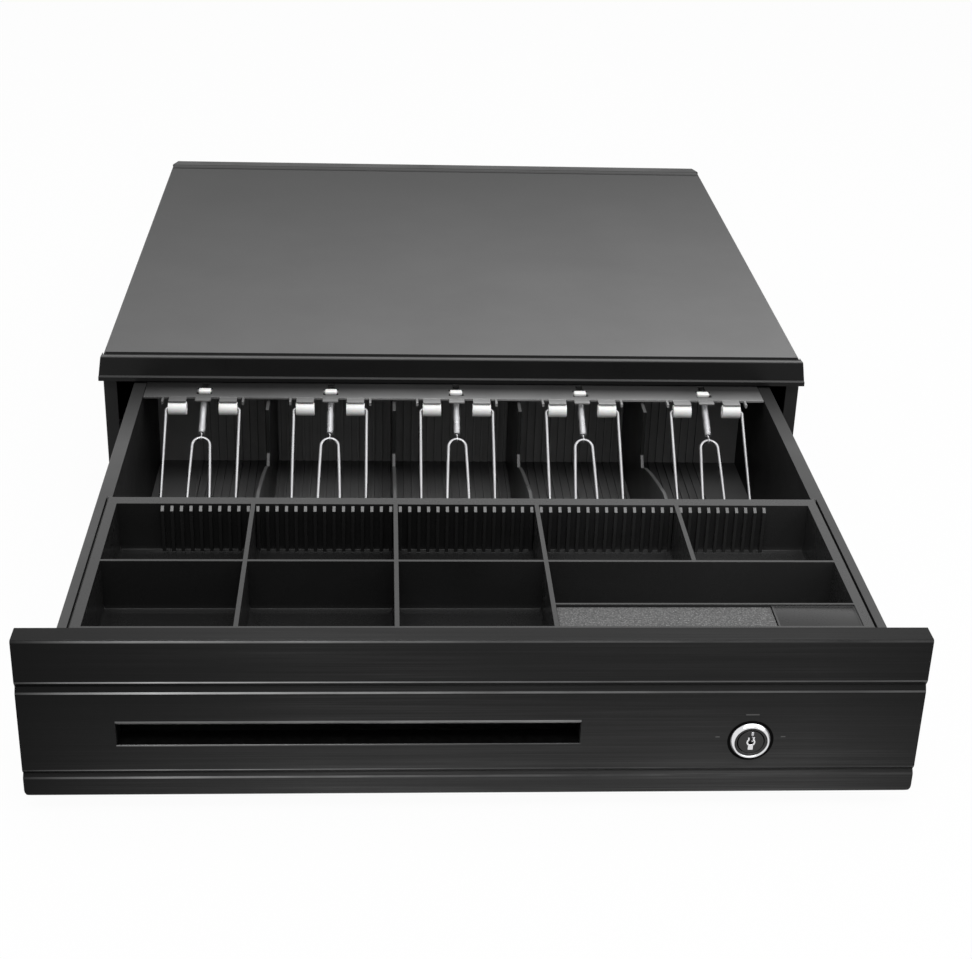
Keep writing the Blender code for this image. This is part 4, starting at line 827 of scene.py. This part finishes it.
# Pale colour on the coin ribs' sloped tops: a painted highlight
RIB_HIGHLIGHT = moulded("rib_tops_painted_highlight", 0.16, 0.40, 2600.0, specular=0.40)
INSERT = insert_moulding()
DIVIDER = moulded("black_divider_moulding", 0.012, 0.34, 2600.0, specular=0.35, top_light=0.066)
FACE = brushed_face()
# Painted highlights on the fascia's lips and on the slot's upper bevel
EDGE_HIGHLIGHT = painted_edge_highlight("fascia_edge_painted_highlight", 0.85, (0.34, 0.11, 0.62), (1.25, 0.38, 0.62))
SLOT_HIGHLIGHT = painted_edge_highlight("slot_edge_painted_highlight", 0.0, (0.12, 0.19, 1.0), (1.0, 1.0, 1.0))
RAIL = plated(
    "grey_rail_steel", 0.40, 0.34, (4.0, 160.0, 160.0),
    painted_rail_shade=(RAIL_LOW.y + 0.001, RAIL_LOW.y + 0.0205, 0.10), metallic=0.35,
)
ZINC = plated("zinc_plated_steel", 0.52, 0.34, (60.0, 8.0, 60.0), tint=1.03)
CHROME = bright_chrome("bright_chrome", 0.78, 0.10)
SPRING_STEEL = bright_chrome("spring_wire_nickel", 0.58, 0.34)
BAIL_WIRE = bright_chrome("bail_wire_nickel", 0.33, 0.30)
NYLON = white_nylon()
FOAM = speckled_foam()
RUBBER = rubber("black_rubber_foot", 0.02, 0.35)
# Near-black and all but unreflecting: painted shade on the ring round the lock and the slot's walls
SHADE_BLACK = rubber("black_painted_shade", 0.002, 0.02)
RESIN = moulded("dark_resin_housing", 0.026, 0.45, 1800.0)
CARD = moulded("black_card_lens", 0.035, 0.30, 900.0, specular=0.20)
PLUG = plated("dark_plug_face", 0.045, 0.30, (300.0, 300.0, 300.0))
MARK = moulded("pale_print", 0.060, 0.55, 900.0)


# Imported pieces, their edges eased and their finishes on

# Node, width and segments of its rounded edges, finish, slot and body
EASED = (
    ("cabinet_shell", 0.00022, 2, STEEL, "black_powder_steel", "cabinet"),
    ("base_plate", 0.00020, 1, STEEL, "black_powder_steel", "cabinet"),
    ("rear_panel", 0.00020, 1, STEEL, "black_powder_steel", "cabinet"),
    ("front_trim", 0.00035, 2, TRIM, "black_moulding", "cabinet"),
    ("rear_trim", 0.00040, 2, TRIM, "black_moulding", "cabinet"),
    ("drawer_pan", 0.00025, 2, PAN_STEEL, "black_powder_steel", "drawer"),
    ("fascia", 0.00050, 2, FACE, "brushed_black", "drawer"),
    ("cash_insert", 0.00035, 2, INSERT, "black_moulding", "drawer"),
    ("bill_divider_1", 0.00045, 2, DIVIDER, "black_moulding", "drawer"),
    ("bill_divider_2", 0.00045, 2, DIVIDER, "black_moulding", "drawer"),
    ("bill_divider_3", 0.00045, 2, DIVIDER, "black_moulding", "drawer"),
    ("bill_divider_4", 0.00045, 2, DIVIDER, "black_moulding", "drawer"),
    ("coin_tray", 0.00035, 2, TRAY, "black_moulding", "coin_tray"),
    ("clip_rail", 0.00022, 2, RAIL, "rail_steel", "drawer"),
    ("striker", 0.00030, 2, ZINC, "zinc_steel", "drawer"),
    ("inner_rail_left", 0.00020, 1, ZINC, "zinc_steel", "drawer"),
    ("inner_rail_right", 0.00020, 1, ZINC, "zinc_steel", "drawer"),
    ("middle_rail_left", 0.00020, 1, ZINC, "zinc_steel", "middle_rail_left"),
    ("middle_rail_right", 0.00020, 1, ZINC, "zinc_steel", "middle_rail_right"),
    ("outer_rail_left", 0.00020, 1, ZINC, "zinc_steel", "cabinet"),
    ("outer_rail_right", 0.00020, 1, ZINC, "zinc_steel", "cabinet"),
    ("latch_bracket", 0.00025, 1, ZINC, "zinc_steel", "cabinet"),
    ("latch_lever", 0.00030, 2, ZINC, "zinc_steel", "latch_lever"),
    ("solenoid", 0.00080, 2, RESIN, "dark_resin", "cabinet"),
    ("solenoid_plunger", 0.00030, 1, ZINC, "zinc_steel", "solenoid_plunger"),
    ("ejector_barrel", 0.00060, 2, TRIM, "black_moulding", "cabinet"),
    ("ejector_rod", 0.00050, 2, ZINC, "zinc_steel", "ejector_rod"),
    ("microswitch", 0.00020, 1, RESIN, "dark_resin", "cabinet"),
    ("lock_nut", 0.00040, 2, ZINC, "zinc_steel", "drawer"),
    ("lock_cam", 0.00025, 1, ZINC, "zinc_steel", "lock_plug"),
)

CHANGES = {
    "cabinet_shell": seamed_top, "front_trim": sloped_strip, "clip_rail": short_ears,
    "fascia": bright_mouth, "coin_tray": sloped_ribs,
}

FURTHER_FINISHES = {
    "cabinet_shell": (STEP_SHADE_STEEL,), "coin_tray": (RIB_HIGHLIGHT,), "fascia": (EDGE_HIGHLIGHT, SLOT_HIGHLIGHT, SHADE_BLACK),
}

RUBBER_PIECES = (
    "foot_front_left", "foot_front_right", "foot_rear_left", "foot_rear_right", "cable_grommet",
)


def dress_packed():
    """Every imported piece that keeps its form, changed where it needs it and eased."""
    for node, ease, segments, look, slot, body in EASED:
        bm = packed_form(node)
        if node in CHANGES:
            CHANGES[node](bm)
        rim = LIP_FINISH if node == "fascia" else -1
        piece = eased(bm, node + "_eased", ease, segments, EDGE_ANGLE, rim)
        wear(piece, look, slot, body, node)
        for further in FURTHER_FINISHES.get(node, ()):
            piece.data.materials.append(further)
        if node == "fascia":
            plain_behind(piece)
    for node in RUBBER_PIECES:
        piece = eased(packed_form(node), node + "_eased", 0.0004, 2, 40.0)
        wear(piece, RUBBER, "black_rubber", "cabinet", node)


# Clip hardware


def bend(centre, radius, start, end, steps):
    """Points along an arc, in the bail's own plane."""
    return [
        (centre[0] + radius * math.cos(start + (end - start) * k / steps),
         centre[1] + radius * math.sin(start + (end - start) * k / steps))
        for k in range(steps + 1)
    ]


def bail_points(pivot):
    """The M-shaped bail from one bush round its toes and loop to the other."""
    toe = (BAIL_HALF - INNER_LEG) / 2
    toe_x = INNER_LEG + toe
    toe_s = BAIL_LENGTH - WIRE_RADIUS - toe
    side = [(-WIRE_IN_BUSH, 0.0)]
    side += bend((-BAIL_HALF + WIRE_CORNER, WIRE_CORNER), WIRE_CORNER, -QUARTER, -math.pi, 5)
    side += [(-BAIL_HALF, toe_s * share) for share in (0.25, 0.5, 0.75)]
    side += bend((-toe_x, toe_s), toe, math.pi, 0, 18)
    # The inner leg bows slightly on its way up to the loop
    foot, head = side[-1], (-LOOP_RADIUS, LOOP_AT + LOOP_RADIUS)
    for share in (0.2, 0.4, 0.6, 0.8):
        bow = LEG_BOW * math.sin(math.pi * share)
        x = foot[0] + (head[0] - foot[0]) * share - bow
        side.append((x, foot[1] + (head[1] - foot[1]) * share))
    side += bend((0, LOOP_AT + LOOP_RADIUS), LOOP_RADIUS, -math.pi, -QUARTER, 9)
    path = side + [(-x, s) for x, s in reversed(side[:-1])]
    forward, drop = math.cos(BAIL_SLOPE), math.sin(BAIL_SLOPE)
    return [pivot + Vector((x, -s * forward, -s * drop)) for x, s in path]


def spring_points(pivot):
    """Close-wound spring, narrowed at both ends, with a hook round the bail's loop."""
    top = pivot + SPRING_TOP
    loop = pivot + Vector((0, -LOOP_AT * math.cos(BAIL_SLOPE), -LOOP_AT * math.sin(BAIL_SLOPE)))
    along = (loop - top).normalized()
    across = Vector((1, 0, 0))
    normal = along.cross(across)
    start = top + along * SPRING_START
    end = loop - along * SPRING_END
    count = SPRING_TURNS * TURN_STEPS
    points = []
    for k in range(count + 1):
        angle = math.tau * k / TURN_STEPS
        # The coil opens over its first 8 points and closes over its last 14
        ease = min(1.0, k / 8, (count - k) / 14)
        radius = SPRING_RADIUS * (0.35 + 0.65 * ease)
        centre = start + (end - start) * k / count
        points.append(centre + (normal * math.cos(angle) + across * math.sin(angle)) * radius)
    for k in range(HOOK_STEPS + 1):
        angle = math.pi + HOOK_SWEEP * k / HOOK_STEPS
        points.append(loop + (along * math.cos(angle) + normal * math.sin(angle)) * HOOK_RADIUS)
    return points, start, loop


def bush(bm, low, high):
    """A nylon bush: crisp ends and a bore for the wire."""
    centre = (low + high) / 2
    half = (high.x - low.x) / 2
    r = (high.z - low.z) / 2
    mouth, turn, fine = 0.0003, 0.0004, 0.0001
    lathe(bm, [
        (BUSH_BORE, -half + mouth), (BUSH_BORE + mouth, -half), (r - turn, -half),
        (r - fine, -half + fine), (r, -half + turn), (r, half - turn), (r - fine, half - fine),
        (r - turn, half), (BUSH_BORE + mouth, half), (BUSH_BORE, half - mouth),
        (BUSH_BORE, -half + mouth),
    ], centre, "x", 32)


def clips():
    """Bail, spring, two bushes and a white bead for every clip."""
    for index, pivot in enumerate(clip_pivots(), 1):
        bm = bmesh.new()
        drawn_wire(bm, bail_points(pivot), WIRE_RADIUS, WIRE_SIDES)
        wear(solid(bm, f"bail_wire_{index}"), BAIL_WIRE, "chrome", f"bail_{index}", f"bail_{index}")

        bm = bmesh.new()
        points, start, loop = spring_points(pivot)
        drawn_wire(bm, points, SPRING_WIRE, SPRING_SIDES)
        spring = solid(bm, f"clip_coil_{index}", 60)
        spring.data.materials.append(SPRING_STEEL)
        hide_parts(f"clip_spring_{index}")
        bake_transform(spring)

        for name in ("left", "right"):
            node = f"clip_barrel_{index}_{name}"
            bm = bmesh.new()
            bush(bm, *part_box(node))
            wear(solid(bm, f"bush_{index}_{name}"), NYLON, "white_nylon", "drawer", node)

        # White bead in the rail behind the spring
        bm = bmesh.new()
        bead = Vector((pivot.x, pivot.y + BEAD_BACK, RAIL_HIGH.z - BEAD_SUNK))
        block(bm, bead - BEAD_BELOW, bead + BEAD_ABOVE, 0.0009, 4)
        wear(solid(bm, f"spring_bead_{index}"), NYLON, "white_nylon", "drawer")


# Shelf pad and the dark lens beside it


def shelf():
    """Sponge pad on the tray's shelf and a thin dark lens to its right."""
    bm = bmesh.new()
    block(bm, PAD_LOW, PAD_HIGH, 0.0003, 2)
    bmesh.ops.subdivide_edges(bm, edges=bm.edges, cuts=3, use_grid_fill=True)
    wear(solid(bm, "shelf_sponge", 60), FOAM, "grey_foam", "coin_tray", "shelf_pad")
    bm = bmesh.new()
    low = Vector((PAD_HIGH.x + CARD_GAP, PAD_LOW.y + CARD_INSET, PAD_HIGH.z - CARD_INSET))
    high = Vector((TRAY_HIGH.x - CARD_SIDE, PAD_HIGH.y - CARD_INSET, low.z + CARD_THICK))
    block(bm, low, high, 0.00025, 2)
    wear(solid(bm, "shelf_card"), CARD, "black_moulding", "coin_tray")


# Lock


def lock_bezel(axis):
    """Coned chrome bezel, the dark ring that fills it up to the plug, and a near-black ring under it that
    paints the shadow round the bezel.
    """
    depth = LOCK_HIGH.y - LOCK_LOW.y
    outer = (LOCK_HIGH.x - LOCK_LOW.x) / 2
    # Sections give radius, then depth behind the lock's front
    bm = bmesh.new()
    lathe(bm, [
        (0.0074, 0.0007), (0.0075, 0.0004), (0.0077, 0.0001), (0.0080, 0.0), (0.0084, 0.0001),
        (0.0088, 0.0005), (outer - 0.0001, 0.0014), (outer, 0.0016), (outer, 0.0018),
        (0.0083, 0.0018), (0.0083, depth), (0.0064, depth), (0.0064, 0.0013), (0.0074, 0.0012),
        (0.0074, 0.0007),
    ], axis, "y", 96)
    wear(solid(bm, "lock_bezel", 30), CHROME, "chrome", "drawer", "lock_body")
    bm = bmesh.new()
    lathe(bm, [
        (0.0063, 0.0012), (0.0063, 0.0007), (0.0065, 0.0005), (0.0069, 0.0005), (0.0071, 0.0005),
        (0.0074, 0.0006), (0.0074, 0.0012), (0.0063, 0.0012),
    ], axis, "y", 72)
    wear(solid(bm, "lock_face_ring", 30), PLUG, "chrome", "drawer")
    # A near-black ring round the bezel: painted shadow
    bm = bmesh.new()
    lathe(bm, [
        (0.0088, 0.0017), (0.0106, 0.0017), (0.0107, 0.0018), (0.0106, 0.0020), (0.0088, 0.0020),
        (0.0088, 0.0017),
    ], axis, "y", 72)
    wear(solid(bm, "lock_shadow_ring", 30), SHADE_BLACK, "black_rubber", "drawer")


def lock_plug(axis):
    """The turning plug: guard with its tail, position dot, keyway shutter and wards."""
    piece = eased(packed_form("lock_plug"), "lock_plug_eased", 0.0003, 3, 30.0)
    wear(piece, PLUG, "chrome", "lock_plug", "lock_plug")
    # Raised guard round the keyway: a U open upwards, with a short tail below
    middle = axis + Vector((0, 0.0007, -0.0001))
    points = []
    for k in range(GUARD_STEPS + 1):
        angle = math.radians(GUARD_FROM + GUARD_SWEEP * k / GUARD_STEPS)
        x, z = GUARD_RADIUS * math.cos(angle), GUARD_RADIUS * math.sin(angle)
        points.append(middle + Vector((x, 0, z)))
    points.insert(0, points[0] + Vector((-0.0001, 0, 0.0014)))
    points.append(points[-1] + Vector((0.0003, 0, 0.0017)))
    bm = bmesh.new()
    drawn_wire(bm, points, GUARD_WIRE, 10)
    tail = middle + Vector((0, 0.0001, -0.0031))
    low, high = tail - Vector((0.0013, 0.0005, 0.0011)), tail + Vector((0.0013, 0.0003, 0.0012))
    block(bm, low, high, 0.0004, 3)
    wear(solid(bm, "keyhole_guard", 50), CHROME, "chrome", "lock_plug")
    # Position dot at the top of the plug
    bm = bmesh.new()
    dot = axis + Vector((0.0004, 0.0004, 0.0046))
    half = Vector((0.0006, 0.0003, 0.0010))
    block(bm, dot - half, dot + half, 0.00025, 3)
    wear(solid(bm, "plug_dot", 50), ZINC, "chrome", "lock_plug")
    # Dark shutter deep in the keyway
    bm = bmesh.new()
    low, high = Vector((-0.00095, 0.0022, -0.0036)), Vector((0.00095, 0.0030, 0.0036))
    block(bm, axis + low, axis + high, 0.0001, 1)
    wear(solid(bm, "keyway_shutter"), RESIN, "dark_resin", "lock_plug")
    # Wards down one side of the keyway
    bm = bmesh.new()
    for step in range(WARDS):
        z = WARD_FOOT + WARD_PITCH * step
        low, high = Vector((0.00045, 0.0009, z)), Vector((0.00105, 0.0024, z + WARD_HEIGHT))
        block(bm, axis + low, axis + high, 0.0001, 1)
    wear(solid(bm, "keyway_wards"), CHROME, "chrome", "lock_plug")


# Ticks round the lock: place from its axis across and up, width and height
TICKS = (
    (-0.0154, 0.0020, 0.0020, 0.0006),
    (-0.0002, 0.0140, 0.0062, 0.0006),
    (0.0150, 0.0020, 0.0022, 0.0006),
)


def lock_marks():
    """Three small printed ticks on the fascia for the lock's positions."""
    face = FASCIA_LOW.y
    x = (LOCK_LOW.x + LOCK_HIGH.x) / 2
    z = (LOCK_LOW.z + LOCK_HIGH.z) / 2
    bm = bmesh.new()
    for dx, dz, wide, tall in TICKS:
        block(
            bm, (x + dx - wide / 2, face - 0.00004, z + dz - tall / 2),
            (x + dx + wide / 2, face + 0.0003, z + dz + tall / 2), 0.00003, 1,
        )
    wear(solid(bm, "lock_position_ticks"), MARK, "black_moulding", "drawer")


def lock():
    """The whole lock, about the axis of its body."""
    axis = Vector(((LOCK_LOW.x + LOCK_HIGH.x) / 2, LOCK_LOW.y, (LOCK_LOW.z + LOCK_HIGH.z) / 2))
    lock_bezel(axis)
    lock_plug(axis)
    lock_marks()


# Small fasteners on the back and underneath


def screw(bm, place, axis, radius):
    """A pan-head screw; height runs from its seat outwards."""
    lathe(bm, [
        (0.0, 0.0012), (radius * 0.18, 0.0013), (radius * 0.5, 0.0018), (radius * 0.8, 0.0014),
        (radius, 0.0006), (radius, 0.0), (0.0, 0.0),
    ], place, axis, 24)


def screws():
    """Six screws in the rear panel and six under the base."""
    bm = bmesh.new()
    for x in REAR_SCREW_X:
        for z in (PANEL_LOW.z + REAR_SCREW_LOW, PANEL_HIGH.z - REAR_SCREW_HIGH):
            screw(bm, Vector((x, PANEL_HIGH.y, z)), "y", REAR_SCREW)
    wear(solid(bm, "rear_panel_screws"), ZINC, "zinc_steel", "cabinet")
    bm = bmesh.new()
    front, rear = BASE_LOW.y + BASE_SCREW_INSET, BASE_HIGH.y - BASE_SCREW_INSET
    for x in BASE_SCREW_X:
        for y in (front, (BASE_LOW.y + BASE_HIGH.y) / 2, rear):
            screw(bm, Vector((x, y, BASE_LOW.z)), "z", BASE_SCREW)
    # Turned over, so that the heads stand below the base
    bmesh.ops.scale(
        bm, vec=(1, 1, -1), verts=bm.verts, space=Matrix.Translation((0, 0, -BASE_LOW.z))
    )
    wear(solid(bm, "base_screws"), ZINC, "zinc_steel", "cabinet")


# Studio


def studio_floor():
    """Pale floor that reads white to the eye and in reflections, and still takes a soft shadow."""
    bm = bmesh.new()
    bmesh.ops.create_grid(bm, x_segments=1, y_segments=1, size=6.0)
    floor = solid(bm, "studio_floor")
    f = Finish("pale_studio_floor", grey(0.82), 0.9, 0.0, 0.2)
    cloud = f.noise(1.5, 2.0)
    f.colour(f.shades(cloud, (0.3, grey(0.81)), (0.7, grey(0.83))))
    glow = f.node("ShaderNodeEmission")
    glow.inputs["Color"].default_value = (1, 1, 1, 1)
    glow.inputs["Strength"].default_value = 1.0
    path = f.node("ShaderNodeLightPath")
    seen = f.maths("MAXIMUM", path.outputs["Is Camera Ray"], path.outputs["Is Glossy Ray"])
    seen = f.maths("MAXIMUM", seen, path.outputs["Is Transmission Ray"])
    mix = f.node("ShaderNodeMixShader")
    # The rest of the view is the lit floor, which carries the shadow
    f.link(f.maths("MULTIPLY", seen, FLOOR_WHITE), mix.inputs[0])
    f.link(f.shader.outputs[0], mix.inputs[1])
    f.link(glow.outputs[0], mix.inputs[2])
    f.link(mix.outputs[0], f.tree.nodes["Material Output"].inputs["Surface"])
    floor.data.materials.append(f.made)


def studio_world():
    """A soft white room, seen at full white and giving less light than it shows."""
    world = bpy.data.worlds.new("studio_world")
    bpy.context.scene.world = world
    world.use_nodes = True
    tree = world.node_tree
    back = tree.nodes["Background"]
    path = tree.nodes.new("ShaderNodeLightPath")
    seen = tree.nodes.new("ShaderNodeMath")
    seen.operation = "MAXIMUM"
    tree.links.new(path.outputs["Is Camera Ray"], seen.inputs[0])
    tree.links.new(path.outputs["Is Glossy Ray"], seen.inputs[1])
    strength = tree.nodes.new("ShaderNodeMapRange")
    strength.inputs["To Min"].default_value = ROOM_LIGHT
    strength.inputs["To Max"].default_value = 1.0
    tree.links.new(seen.outputs[0], strength.inputs["Value"])
    tree.links.new(strength.outputs["Result"], back.inputs["Strength"])
    back.inputs["Color"].default_value = (1, 1, 1, 1)
    # Left out of light sampling, so that rough reflections see the pale room too
    world.cycles.sampling_method = "NONE"


def softbox(name, place, target, size, watts):
    """A rectangular lamp that faces its target."""
    lamp = bpy.data.lights.new(name, "AREA")
    lamp.shape = "RECTANGLE"
    lamp.size, lamp.size_y = size
    lamp.energy = watts
    holder = bpy.data.objects.new(name, lamp)
    holder.location = place
    way = Vector(target) - Vector(place)
    holder.rotation_euler = way.to_track_quat("-Z", "Y").to_euler()
    bpy.context.scene.collection.objects.link(holder)


def camera():
    """The photograph's own viewpoint, found from the drawer's measured corners."""
    pitch, yaw, roll = (math.radians(a) for a in CAMERA_TURN)
    forward = Vector((math.sin(yaw) * math.cos(pitch), math.cos(yaw) * math.cos(pitch), -math.sin(pitch)))
    right = Vector((math.cos(yaw), -math.sin(yaw), 0))
    down = forward.cross(right)
    across = right * math.cos(roll) + down * math.sin(roll)
    up = right * math.sin(roll) - down * math.cos(roll)
    data = bpy.data.cameras.new("photo_camera")
    data.sensor_fit = "HORIZONTAL"
    data.sensor_width = SENSOR_WIDTH
    data.lens = FOCAL_PIXELS * SENSOR_WIDTH / PHOTO_WIDTH
    data.clip_start, data.clip_end = 0.05, 50
    holder = bpy.data.objects.new("photo_camera", data)
    turn = Matrix((across, up, -forward)).transposed().to_4x4()
    place = Vector((CAMERA_X, FASCIA_LOW.y - CAMERA_AHEAD, FASCIA_LOW.z + CAMERA_ABOVE))
    holder.matrix_world = Matrix.Translation(place) @ turn
    bpy.context.scene.collection.objects.link(holder)
    bpy.context.scene.camera = holder


dress_packed()
clips()
shelf()
lock()
screws()
studio_floor()
studio_world()
for box in SOFTBOXES:
    softbox(*box)
camera()

view = bpy.context.scene.view_settings
view.view_transform = "Standard"
